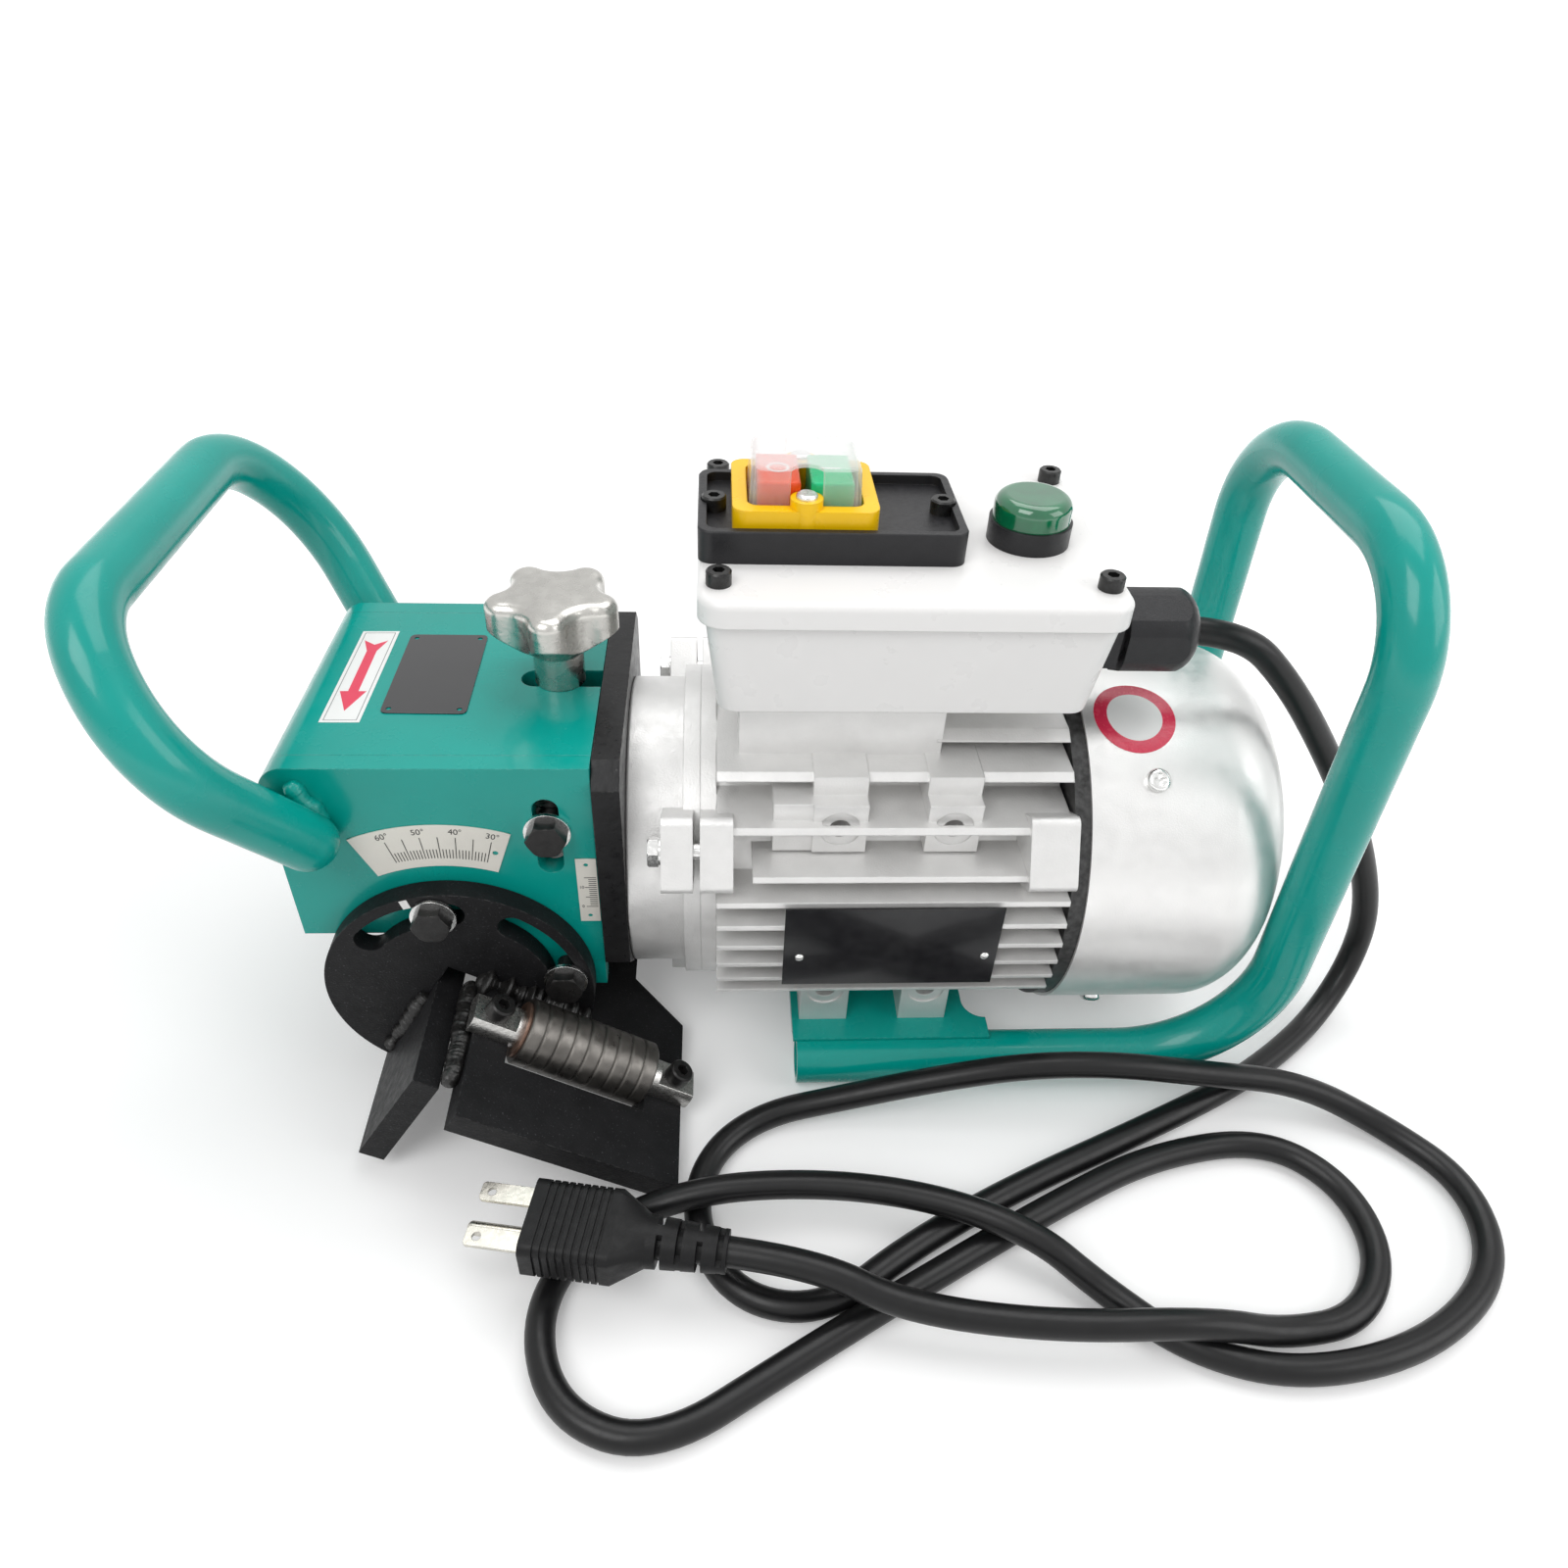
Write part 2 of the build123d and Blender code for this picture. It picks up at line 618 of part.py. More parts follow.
def stator_frame():
    """Cast and finned frame of the motor, with foot pads, ears and the pedestal of the box."""
    body = rod_x(BODY_R, RING_END_X, FINS_END_X) + rod_x(RIM_R, SPLIT_X, RING_END_X)
    fins = [fin(FIN_TOP_Z - FIN_PITCH * row, RING_END_X, FINS_END_X) for row in range(1, FIN_COUNT)]
    fins.append(fin(FIN_TOP_Z, TRAY_FIN_X0, TRAY_FIN_X1))
    fins.append(fin(MID_FIN_Z, RING_END_X, FINS_END_X))
    fins.append(fin(HIGH_FIN_Z, RING_END_X, FINS_END_X))
    fins.append(fin(ROOF_FIN_Z, PEDESTAL_X1 - CUT, FINS_END_X))
    envelope = rod_x(FIN_R, RING_END_X - CUT, FINS_END_X + CUT)
    for plate in fins:
        body += plate & envelope
    for pad in foot_pads():
        for side in both_sides(pad):
            body += side
    half = PEDESTAL_HALF
    body += block(PEDESTAL_X0, PEDESTAL_X1, -half, half, 0, BOX_BOTTOM_Z)
    for ear in ears(SPLIT_X, EAR_FRAME_X1) + ears(EAR_REAR_X0, EAR_REAR_X1):
        body += ear
    body -= rod_x(STATOR_R, SPLIT_X - CUT, FINS_END_X + CUT)
    body -= rod_z(WIRE_HOLE_R, 0, BOX_BOTTOM_Z + CUT, (PEDESTAL_X0 + PEDESTAL_X1) / 2)
    for x in (PAD_X1, PAD_X2):
        for z in (PAD_Z, -PAD_Z):
            for side in (-1, 1):
                hole = rod_y(PAD_HOLE_R, PAD_FACE - PAD_HOLE_DEPTH, PAD_FACE + CUT, x, z)
                spot = rod_y(PAD_HOLE_R * 1.9, PAD_FACE - GAP * 2, PAD_FACE + CUT, x, z)
                tool = hole + spot
                body -= tool if side > 0 else tool.mirror(Plane.XZ)
        for y in (-PAD_Z, PAD_Z):
            body -= rod_z(M8_R + FIT, PAD_FLOOR_Z - CUT, PAD_FLOOR_Z + PAD_HOLE_DEPTH, x, y)
    for angle in EAR_ANGLES:
        y, z = polar(EAR_PCD_R, angle)
        body -= rod_x(M6_R + FIT, SPLIT_X - CUT, EAR_FRAME_X1 - CUT, y, z)
        y, z = polar(REAR_BOLT_R, angle)
        body -= rod_x(M6_R + FIT, EAR_REAR_X0 + CUT, EAR_REAR_X1 + CUT, y, z)
    return body


def end_shield_bolts():
    """Hexagon bolts with spring washers, three at each end of the frame."""
    bolts = []
    for angle in EAR_ANGLES:
        y, z = polar(EAR_PCD_R, angle)
        length = EAR_FRAME_X1 - 2 * CUT - EAR_FRONT_X0
        bolt = hex_bolt(M6_R, M6_HEX_HALF, M6_HEX_H, length + SPRING_WASHER_T)
        bolt += rod_z(M6_HEX_HALF, -SPRING_WASHER_T, 0)
        bolts.append(Pos(EAR_FRONT_X0 - SPRING_WASHER_T, y, z) * Rot(0, -90, 0) * bolt)
        y, z = polar(REAR_BOLT_R, angle)
        length = SHIELD_END_X - EAR_REAR_X0 - 2 * CUT
        bolt = hex_bolt(M6_R, M6_HEX_HALF, M6_HEX_H, length)
        bolts.append(Pos(SHIELD_END_X, y, z) * Rot(0, 90, 0) * bolt)
    return group(bolts)


def rear_end_shield():
    """Rear shield: disc, bearing boss, spigot and the lugs that carry the cowl."""
    disc_r = COWL_R - COWL_T - FIT
    wall = HOUSING_WALL
    shield = rod_x(disc_r, EAR_REAR_X1, SHIELD_END_X)
    shield += rod_x(STATOR_R - FIT, FINS_END_X - wall, EAR_REAR_X1)
    shield -= rod_x(STATOR_R - wall, FINS_END_X - wall - CUT, EAR_REAR_X1)
    shield += rod_x(BEARING_R + wall, BEARING_REAR_X - wall / 2, SHIELD_END_X)
    for angle in COWL_SCREW_ANGLES:
        lug = block(EAR_REAR_X1, LUG_END_X, -LUG_HALF, LUG_HALF, disc_r - LUG_T, COWL_R)
        lug = lug & rod_x(disc_r, EAR_REAR_X1, LUG_END_X)
        lug -= rod_z(M5_R + FIT, disc_r - LUG_T - CUT, COWL_R, COWL_SCREW_X)
        shield += Rot(angle - 90, 0, 0) * lug
    shield -= rod_x(BEARING_R + FIT, BEARING_REAR_X - wall, BEARING_REAR_X + BEARING_W)
    shield -= rod_x(BEARING_BORE_R + CUT, BEARING_REAR_X, SHIELD_END_X + CUT)
    for angle in EAR_ANGLES:
        y, z = polar(REAR_BOLT_R, angle)
        shield -= rod_x(M6_R + FIT, EAR_REAR_X1 - CUT, SHIELD_END_X + CUT, y, z)
    return shield


def bearing(x0):
    """Sealed ball bearing, drawn as its outer ring and shields, fixed in its shield."""
    x1 = x0 + BEARING_W
    ring = rod_x(BEARING_R, x0, x1) - rod_x(BEARING_BORE_R + RUN, x0 - CUT, x1 + CUT)
    groove = (BEARING_R - BEARING_BORE_R) / 4
    for start in (x0 - CUT, x0 + BEARING_W - GAP * 2):
        dish = rod_x(BEARING_R - groove, start, start + GAP * 2 + CUT)
        ring -= dish - rod_x(BEARING_BORE_R + groove, start, start + GAP * 2 + CUT)
    return ring


def shaft_seal():
    """Rubber lip seal in the mounting face."""
    seal = rod_x(SEAL_R, 0, SEAL_W) - rod_x(SHAFT_R + GAP, -CUT, SEAL_W + CUT)
    return seal


def stator_core():
    """Laminated core inside the frame."""
    return rod_x(STATOR_R - FIT, CORE_X0, CORE_X1) - rod_x(CORE_BORE_R, CORE_X0 - CUT, CORE_X1 + CUT)


def stator_windings():
    """End turns of the windings on both faces of the core."""
    rings = []
    for x0 in (CORE_X0 - WINDING_L, CORE_X1):
        ring = rod_x(WINDING_R1, x0, x0 + WINDING_L)
        ring = fillet(ring.edges(), WINDING_L / 4)
        rings.append(ring - rod_x(WINDING_R0, x0 - CUT, x0 + WINDING_L + CUT))
    return group(rings)


def rotor_shaft():
    """Turned shaft from the cutter holder to the fan."""
    front = BEARING_FRONT_X + BEARING_W
    shaft = rod_x(SHAFT_R, -SHAFT_OUT, BEARING_FRONT_X)
    shaft = chamfer(shaft.edges().group_by(Axis.X)[0], SHAFT_R / 8)
    shaft += rod_x(BEARING_BORE_R, BEARING_FRONT_X, front)
    shaft += rod_x(ROTOR_SHAFT_R, front, BEARING_REAR_X)
    shaft += rod_x(BEARING_BORE_R, BEARING_REAR_X, BEARING_REAR_X + BEARING_W)
    shaft += rod_x(FAN_SEAT_R, BEARING_REAR_X + BEARING_W, FAN_X0 + FAN_HUB_L)
    return shaft


def rotor():
    """Rotor pack with its end rings, on the shaft."""
    pack = rod_x(ROTOR_R, CORE_X0, CORE_X1)
    pack += rod_x(ROTOR_RING_R, CORE_X0 - WINDING_L / 2, CORE_X1 + WINDING_L / 2)
    return pack - rod_x(ROTOR_SHAFT_R, CORE_X0 - WINDING_L, CORE_X1 + WINDING_L)


def cooling_fan():
    """Radial fan with a back disc and straight blades."""
    fan = rod_x(FAN_HUB_R, FAN_X0, FAN_X0 + FAN_HUB_L) + rod_x(FAN_R, FAN_X0, FAN_X0 + FAN_DISC_T)
    for index in range(FAN_BLADES):
        half = FAN_BLADE_T / 2
        blade = block(FAN_X0, FAN_X0 + FAN_BLADE_L, -half, half, FAN_HUB_R - half, FAN_R)
        fan += Rot(360 * index / FAN_BLADES, 0, 0) * blade
    return fan - rod_x(FAN_SEAT_R, FAN_X0 - CUT, FAN_X0 + FAN_BLADE_L + CUT)


def grille_slots():
    """Concentric arc slots in the end of the cowl."""
    slots = []
    for ring_r in GRILLE_RINGS:
        x0, x1 = COWL_END_X - COWL_T - CUT, COWL_END_X + CUT
        ring = rod_x(ring_r + GRILLE_SLOT / 2, x0, x1) - rod_x(ring_r - GRILLE_SLOT / 2, x0 - CUT, x1 + CUT)
        for angle in (45, 135):
            bar = block(x0 - CUT, x1 + CUT, -COWL_R, COWL_R, -GRILLE_BAR / 2, GRILLE_BAR / 2)
            ring -= Rot(angle, 0, 0) * bar
        slots.extend(ring.solids())
    return slots


def fan_cowl():
    """Pressed steel cowl with a rounded edge and an inlet grille."""
    cowl = rod_x(COWL_R, SHIELD_END_X, COWL_END_X)
    cowl = fillet(cowl.edges().group_by(Axis.X)[-1], COWL_EDGE_R)
    inside = rod_x(COWL_R - COWL_T, SHIELD_END_X - CUT, COWL_END_X - COWL_T)
    cowl -= fillet(inside.edges().group_by(Axis.X)[-1], COWL_EDGE_R - COWL_T)
    for slot in grille_slots():
        cowl -= slot
    for angle in COWL_SCREW_ANGLES:
        cowl -= Rot(angle - 90, 0, 0) * rod_z(M5_R + FIT, COWL_R - COWL_EDGE_R, COWL_R + CUT, COWL_SCREW_X)
    return cowl


def cowl_screws():
    """Pan-head screws around the cowl."""
    screw = Pos(COWL_SCREW_X, 0, COWL_R) * pan_screw(M5_R, COWL_T + LUG_T)
    return group([Rot(angle - 90, 0, 0) * screw for angle in COWL_SCREW_ANGLES])


def tube(points, radii, outer_r, inner_r):
    """Bent tube along straight runs joined by arcs."""
    path = FilletPolyline(*points, radius=radii)
    start = Plane(origin=path @ 0, z_dir=path % 0)
    pipe = sweep(start * Circle(outer_r), path=path)
    return pipe - sweep(start * Circle(inner_r), path=path)


def rear_handle_points():
    """Corners of the rear handle, from one open rail end to the other."""
    grip_x = LEG_FOOT_X - LEG_LEAN
    near = [
        (RAIL_START_X, -RAIL_Y, -RAIL_DROP),
        (LEG_FOOT_X, -RAIL_Y, -RAIL_DROP),
        (grip_x, -RAIL_Y, GRIP_Z),
    ]
    far = [(x, -y, z) for x, y, z in reversed(near)]
    return near + far


def rear_handle():
    """Rear handle: two rails on the floor, two legs and the grip bar."""
    radii = [FOOT_BEND_R, GRIP_BEND_R, GRIP_BEND_R, FOOT_BEND_R]
    return tube(rear_handle_points(), radii, TUBE_R, TUBE_R - TUBE_WALL)


def handle_bracket():
    """Plate bolted under the motor and welded on top of both rails."""
    flare = BRACKET_FLARE_R
    plate = block(BRACKET_X0, BRACKET_X1, -RAIL_Y, RAIL_Y, PAD_FLOOR_Z - BRACKET_T, PAD_FLOOR_Z)
    for side in both_sides(
        block(BRACKET_X1, BRACKET_X1 + flare, RAIL_Y - TUBE_R - flare, RAIL_Y, PAD_FLOOR_Z - BRACKET_T, PAD_FLOOR_Z)
    ):
        plate += side
    for side in both_sides(
        rod_z(flare, PAD_FLOOR_Z - BRACKET_T - CUT, PAD_FLOOR_Z + CUT, BRACKET_X1 + flare, RAIL_Y - TUBE_R - flare)
    ):
        plate -= side
    for x in (PAD_X1, PAD_X2):
        for y in (-PAD_Z, PAD_Z):
            plate -= rod_z(M8_R + FIT, PAD_FLOOR_Z - BRACKET_T - CUT, PAD_FLOOR_Z + CUT, x, y)
    for y in (-RAIL_Y, RAIL_Y):
        plate -= rod_x(TUBE_R, BRACKET_X0 - CUT, BRACKET_X1 + flare + CUT, y, -RAIL_DROP)
    return plate


def bracket_bolts():
    """Hexagon bolts from below, through the bracket into the foot pads."""
    bolt = Rot(180, 0, 0) * hex_bolt(M8_R, M8_HEX_HALF, M8_HEX_H, BRACKET_T + PAD_HOLE_DEPTH - CUT)
    seat_z = PAD_FLOOR_Z - BRACKET_T
    return group([Pos(x, y, seat_z) * bolt for x in (PAD_X1, PAD_X2) for y in (-PAD_Z, PAD_Z)])


def box_outline(inset, draft, z):
    """Rounded outline of the control box at one height."""
    length = BOX_X1 - BOX_X0 - 2 * (inset + draft)
    width = 2 * (BOX_HALF_W - inset - draft)
    return Pos((BOX_X0 + BOX_X1) / 2, 0, z) * RectangleRounded(length, width, BOX_CORNER_R - inset / 2)


def lid_screw_places():
    """Places of the four lid screws."""
    xs = (BOX_X0 + LID_SCREW_IN, BOX_X1 - LID_SCREW_IN)
    return [(x, y) for x in xs for y in (-LID_SCREW_Y, LID_SCREW_Y)]


def control_box():
    """Drafted cast box with four posts, a wire hole and the boss of the cable gland."""
    box = loft([box_outline(0, BOX_DRAFT, BOX_BOTTOM_Z), box_outline(0, 0, BOX_RIM_Z)])
    inside = loft(
        [box_outline(BOX_WALL, BOX_DRAFT, BOX_BOTTOM_Z + BOX_WALL), box_outline(BOX_WALL, 0, BOX_RIM_Z + FIT)]
    )
    box -= inside
    for x, y in lid_screw_places():
        box += rod_z(POST_R, BOX_BOTTOM_Z + BOX_WALL / 2, BOX_RIM_Z, x, y) & box_solid()
    boss = rod_x(GLAND_BOSS_R, BOX_X1 - BOX_WALL - BOX_DRAFT, GLAND_SEAT_X, GLAND_Y, GLAND_Z)
    box += boss
    box -= rod_x(GLAND_THREAD_R + FIT, BOX_X1 - 2 * GLAND_BOSS_R, GLAND_SEAT_X + CUT, GLAND_Y, GLAND_Z)
    wire_x = (PEDESTAL_X0 + PEDESTAL_X1) / 2
    box -= rod_z(WIRE_HOLE_R, BOX_BOTTOM_Z - CUT, BOX_BOTTOM_Z + 2 * BOX_WALL, wire_x)
    for x, y in lid_screw_places():
        box -= rod_z(M5_R + FIT, BOX_RIM_Z - LID_HOLE_D, BOX_RIM_Z + CUT, x, y)
    return box


def box_solid():
    """Outer form of the control box, filled."""
    return loft([box_outline(0, BOX_DRAFT, BOX_BOTTOM_Z), box_outline(0, 0, BOX_RIM_Z)])


def box_gasket():
    """Rubber seal between box and lid."""
    ring = extrude(box_outline(0, 0, BOX_RIM_Z), amount=GASKET_T)
    ring -= extrude(box_outline(2 * BOX_WALL + POST_R, 0, BOX_RIM_Z - CUT), amount=GASKET_T + 2 * CUT)
    for x, y in lid_screw_places():
        ring -= rod_z(M5_R + FIT, BOX_RIM_Z - CUT, LID_Z0 + CUT, x, y)
    return ring


def button_x(side):
    """Start and end of a button along X: the red one at -1, the green one at +1."""
    middle = (FRAME_X0 + FRAME_X1) / 2 + side * (BUTTON_L + BUTTON_GAP) / 2
    return middle - BUTTON_L / 2, middle + BUTTON_L / 2


def block_extent():
    """Extent of the contact block in plan."""
    x0 = button_x(-1)[0] - BLOCK_MARGIN
    x1 = button_x(1)[1] + BLOCK_MARGIN
    return x0, x1, SWITCH_Y - BUTTON_W / 2 - BLOCK_MARGIN, SWITCH_Y + BUTTON_W / 2 + BLOCK_MARGIN


def box_lid():
    """Lid with rounded edges, cut for the switch and the pilot lamp."""
    over = LID_OVERHANG
    lid = rounded_block(
        BOX_X0 - over,
        BOX_X1 + over,
        -BOX_HALF_W - over,
        BOX_HALF_W + over,
        LID_Z0,
        LID_TOP_Z,
        BOX_CORNER_R + over,
    )
    lid = fillet(lid.edges().group_by(Axis.Z)[-1], LID_EDGE_R)
    inset = 2 * BOX_WALL + POST_R
    lid -= extrude(box_outline(inset, 0, LID_Z0 - CUT), amount=LID_H - LID_WALL + CUT)
    x0, x1, y0, y1 = block_extent()
    lid -= block(x0 - GAP, x1 + GAP, y0 - GAP, y1 + GAP, LID_Z0, LID_TOP_Z + CUT)
    lid -= rod_z(LAMP_STEM_R + GAP, LID_Z0, LID_TOP_Z + CUT, LAMP_X, LAMP_Y)
    for x, y in lid_screw_places():
        lid -= rod_z(M5_R + FIT, LID_Z0 - CUT, LID_TOP_Z + CUT, x, y)
    for x in switch_screw_xs():
        lid -= rod_z(M5_R + FIT, LID_Z0, LID_TOP_Z + CUT, x, SWITCH_Y)
    return lid


def lid_screws():
    """Socket screws of the lid."""
    screw = socket_screw(M5_R, M5_HEAD_R, M5_HEAD_H, LID_H + GASKET_T + BOX_WALL * 4)
    return group([Pos(x, y, LID_TOP_Z) * screw for x, y in lid_screw_places()])


def switch_screw_xs():
    """Places of the two screws of the switch base."""
    return [SWITCH_X0 + SWITCH_SCREW_IN, SWITCH_X1 - SWITCH_SCREW_IN]


def switch_base():
    """Black moulded base with a raised rim."""
    y0, y1 = SWITCH_Y - SWITCH_HALF_W, SWITCH_Y + SWITCH_HALF_W
    top_z = LID_TOP_Z + SWITCH_H
    rim = SWITCH_RIM
    base = rounded_block(SWITCH_X0, SWITCH_X1, y0, y1, LID_TOP_Z, top_z, SWITCH_CORNER_R)
    base = chamfer(base.edges().group_by(Axis.Z)[-1], rim / 6)
    base -= rounded_block(
        SWITCH_X0 + rim,
        SWITCH_X1 - rim,
        y0 + rim,
        y1 - rim,
        top_z - SWITCH_RIM_H,
        top_z + CUT,
        SWITCH_CORNER_R - rim / 2,
    )
    bx0, bx1, by0, by1 = block_extent()
    base -= block(bx0 - GAP, bx1 + GAP, by0 - GAP, by1 + GAP, LID_TOP_Z - CUT, top_z)
    for x in switch_screw_xs():
        base -= rod_z(M5_R + FIT, LID_TOP_Z - CUT, top_z, x, SWITCH_Y)
        base -= rod_z(M5_HEAD_R + GAP, top_z - SWITCH_RIM_H, top_z + CUT, x, SWITCH_Y)
    return base


def switch_base_screws():
    """Two socket screws of the switch base."""
    seat_z = LID_TOP_Z + SWITCH_H - SWITCH_RIM_H
    screw = socket_screw(M5_R, M5_HEAD_R, M5_HEAD_H, SWITCH_H - SWITCH_RIM_H + LID_WALL)
    return group([Pos(x, SWITCH_Y, seat_z) * screw for x in switch_screw_xs()])


def frame_tab_ys():
    """Places of the two screw tabs of the yellow frame."""
    shift = SWITCH_HALF_W - SWITCH_RIM - GAP - FRAME_TAB_R
    return [SWITCH_Y - shift, SWITCH_Y + shift]


def switch_frame():
    """Yellow frame round the clear cap, with a screw tab in front and behind."""
    z0 = LID_TOP_Z + SWITCH_H - SWITCH_RIM_H
    y0, y1 = SWITCH_Y - FRAME_HALF_W, SWITCH_Y + FRAME_HALF_W
    inset = SWITCH_RIM
    frame = rounded_block(FRAME_X0, FRAME_X1, y0 + inset, y1 - inset, z0, z0 + FRAME_H, SWITCH_CORNER_R)
    middle_x = (FRAME_X0 + FRAME_X1) / 2
    band = FRAME_BAND
    frame -= rounded_block(
        FRAME_X0 + band, FRAME_X1 - band, y0 + inset + band, y1 - inset - band, z0 - CUT, z0 + FRAME_H + 2 * CUT + inset,
        SWITCH_CORNER_R - inset / 2
    )
    for y in frame_tab_ys():
        frame += rod_z(FRAME_TAB_R, z0, z0 + FRAME_H + FRAME_TAB_RISE, middle_x, y)
    return frame


def cap_outline(inset, shrink, z):
    """Rounded outline of the clear cap at one height."""
    length = (FRAME_X1 - FRAME_X0 - 2 * FRAME_BAND - 2 * inset - 2 * FIT) * shrink
    width = (2 * (FRAME_HALF_W - SWITCH_RIM - FRAME_BAND) - 2 * inset - 2 * FIT) * shrink
    return Pos((FRAME_X0 + FRAME_X1) / 2, SWITCH_Y, z) * RectangleRounded(length, width, SWITCH_CORNER_R - inset)


def switch_cap():
    """Clear domed cap over the two buttons."""
    z0 = LID_TOP_Z + SWITCH_H - SWITCH_RIM_H
    top_z = z0 + FRAME_H + CAP_H - BUTTON_TRAVEL
    cap = loft([cap_outline(0, 1, z0), cap_outline(0, CAP_TOP_SHARE, top_z)])
    cap = fillet(cap.edges().group_by(Axis.Z)[-1], CAP_T * 2)
    cap -= loft([cap_outline(CAP_T, 1, z0 - FIT), cap_outline(CAP_T, CAP_TOP_SHARE, top_z - CAP_T)])
    for y in frame_tab_ys():
        cap -= rod_z(FRAME_TAB_R + GAP, z0 - CUT, top_z + CUT, (FRAME_X0 + FRAME_X1) / 2, y)
    return cap


def switch_block():
    """Contact block under the buttons, with a well for each stem."""
    x0, x1, y0, y1 = block_extent()
    top_z = LID_TOP_Z + SWITCH_H - SWITCH_RIM_H
    body = block(x0, x1, y0, y1, LID_TOP_Z - BLOCK_DROP, top_z)
    for side in (-1, 1):
        bx0, bx1 = button_x(side)
        body -= block(bx0 - GAP, bx1 + GAP, y0 + BLOCK_MARGIN - GAP, y1 - BLOCK_MARGIN + GAP, top_z - BUTTON_STEM_H, top_z + CUT)
    return body


def button(side):
    """Push button that stands in its well."""
    x0, x1 = button_x(side)
    y0, y1 = SWITCH_Y - BUTTON_W / 2, SWITCH_Y + BUTTON_W / 2
    top_z = LID_TOP_Z + SWITCH_H - SWITCH_RIM_H
    foot_z = top_z - BUTTON_STEM_H + BUTTON_TRAVEL + GAP
    cap = block(x0, x1, y0, y1, foot_z, top_z + FRAME_H + BUTTON_H - BUTTON_TRAVEL)
    cap = fillet(cap.edges().group_by(Axis.Z)[-1], FIN_TIP_T / 2)
    for y in frame_tab_ys():
        tab_x = (FRAME_X0 + FRAME_X1) / 2
        cap -= rod_z(FRAME_TAB_R + GAP, foot_z - CUT, top_z + FRAME_H + BUTTON_H, tab_x, y)
    return cap


def frame_screws():
    """Two small screws in the tabs of the yellow frame."""
    z = LID_TOP_Z + SWITCH_H - SWITCH_RIM_H + FRAME_H + FRAME_TAB_RISE
    middle_x = (FRAME_X0 + FRAME_X1) / 2
    head = fillet(rod_z(PAN_R * 0.8, 0, PAN_H / 2).edges().group_by(Axis.Z)[-1], PAN_H / 3)
    return group([Pos(middle_x, y, z) * head for y in frame_tab_ys()])


def lamp_ring():
    """Black ring and stem of the pilot lamp."""
    ring = rod_z(LAMP_R, LID_TOP_Z, LID_TOP_Z + LAMP_RING_H, LAMP_X, LAMP_Y)
    stem = rod_z(LAMP_STEM_R, LID_TOP_Z - LAMP_STEM_L, LID_TOP_Z, LAMP_X, LAMP_Y)
    return ring + stem


def lamp_lens():
    """Green domed lens of the pilot lamp."""
    z0 = LID_TOP_Z + LAMP_RING_H
    lens = rod_z(LAMP_LENS_R, z0, z0 + LAMP_LENS_H, LAMP_X, LAMP_Y)
    return fillet(lens.edges().group_by(Axis.Z)[-1], LAMP_LENS_EDGE_R)


def hex_rod_x(half_flats, x0, x1, y, z):
    """Hexagon along X."""
    prism = extrude(RegularPolygon(half_flats / cos(pi / 6), 6), amount=x1 - x0)
    return Pos(x0, y, z) * Rot(0, 90, 0) * prism


def gland_body():
    """Threaded body of the cable gland."""
    hex_end = GLAND_SEAT_X + GLAND_HEX_L
    mouth_x = GLAND_SEAT_X + GLAND_HEX_L + FIN_TIP_T + GLAND_NUT_L - GLAND_MOUTH_L
    body = hex_rod_x(GLAND_HEX_HALF, GLAND_SEAT_X, hex_end, GLAND_Y, GLAND_Z)
    body += rod_x(GLAND_THREAD_R, BOX_X1 - 2 * BOX_WALL - BOX_DRAFT, mouth_x, GLAND_Y, GLAND_Z)
    return body


def gland_nut():
    """Domed clamping nut of the cable gland."""
    x0 = GLAND_SEAT_X + GLAND_HEX_L + FIN_TIP_T
    x1 = x0 + GLAND_NUT_L
    nut = hex_rod_x(GLAND_NUT_HALF, x0, x1, GLAND_Y, GLAND_Z)
    round_r = GLAND_NUT_HALF + GAP * 3
    envelope = rod_x(round_r, x0 - CUT, x1, GLAND_Y, GLAND_Z)
    envelope = fillet(envelope.edges().group_by(Axis.X)[-1], GLAND_DOME_R)
    nut = nut & envelope
    nut -= rod_x(GLAND_THREAD_R + FIT, x0 - CUT, x1 - GLAND_MOUTH_L, GLAND_Y, GLAND_Z)
    return nut - rod_x(CORD_R + GAP, x0, x1 + CUT, GLAND_Y, GLAND_Z)


def bent_outline(inset):
    """Side outline of the housing, with its rounded upper left corner."""
    x0 = HOUSING_LEFT_X + inset
    top = HOUSING_TOP_Z - inset
    low = [
        (x0, HOUSING_LOW_Z),
        (TOE_X0, HOUSING_LOW_Z),
        (TOE_X1, HOUSING_TOE_Z),
        (HOUSING_RIGHT_X, HOUSING_TOE_Z),
    ]
    return low + [(HOUSING_RIGHT_X, top), (x0, top)]


def round_corner(solid, x, z, radius):
    """Round the one edge along Y that passes through a place."""
    edge = solid.edges().filter_by(Axis.Y).sort_by_distance((x, 0, z))[0]
    near = [e for e in solid.edges().filter_by(Axis.Y) if hypot(e.center().X - x, e.center().Z - z) < FIT]
    return fillet(near or [edge], radius)


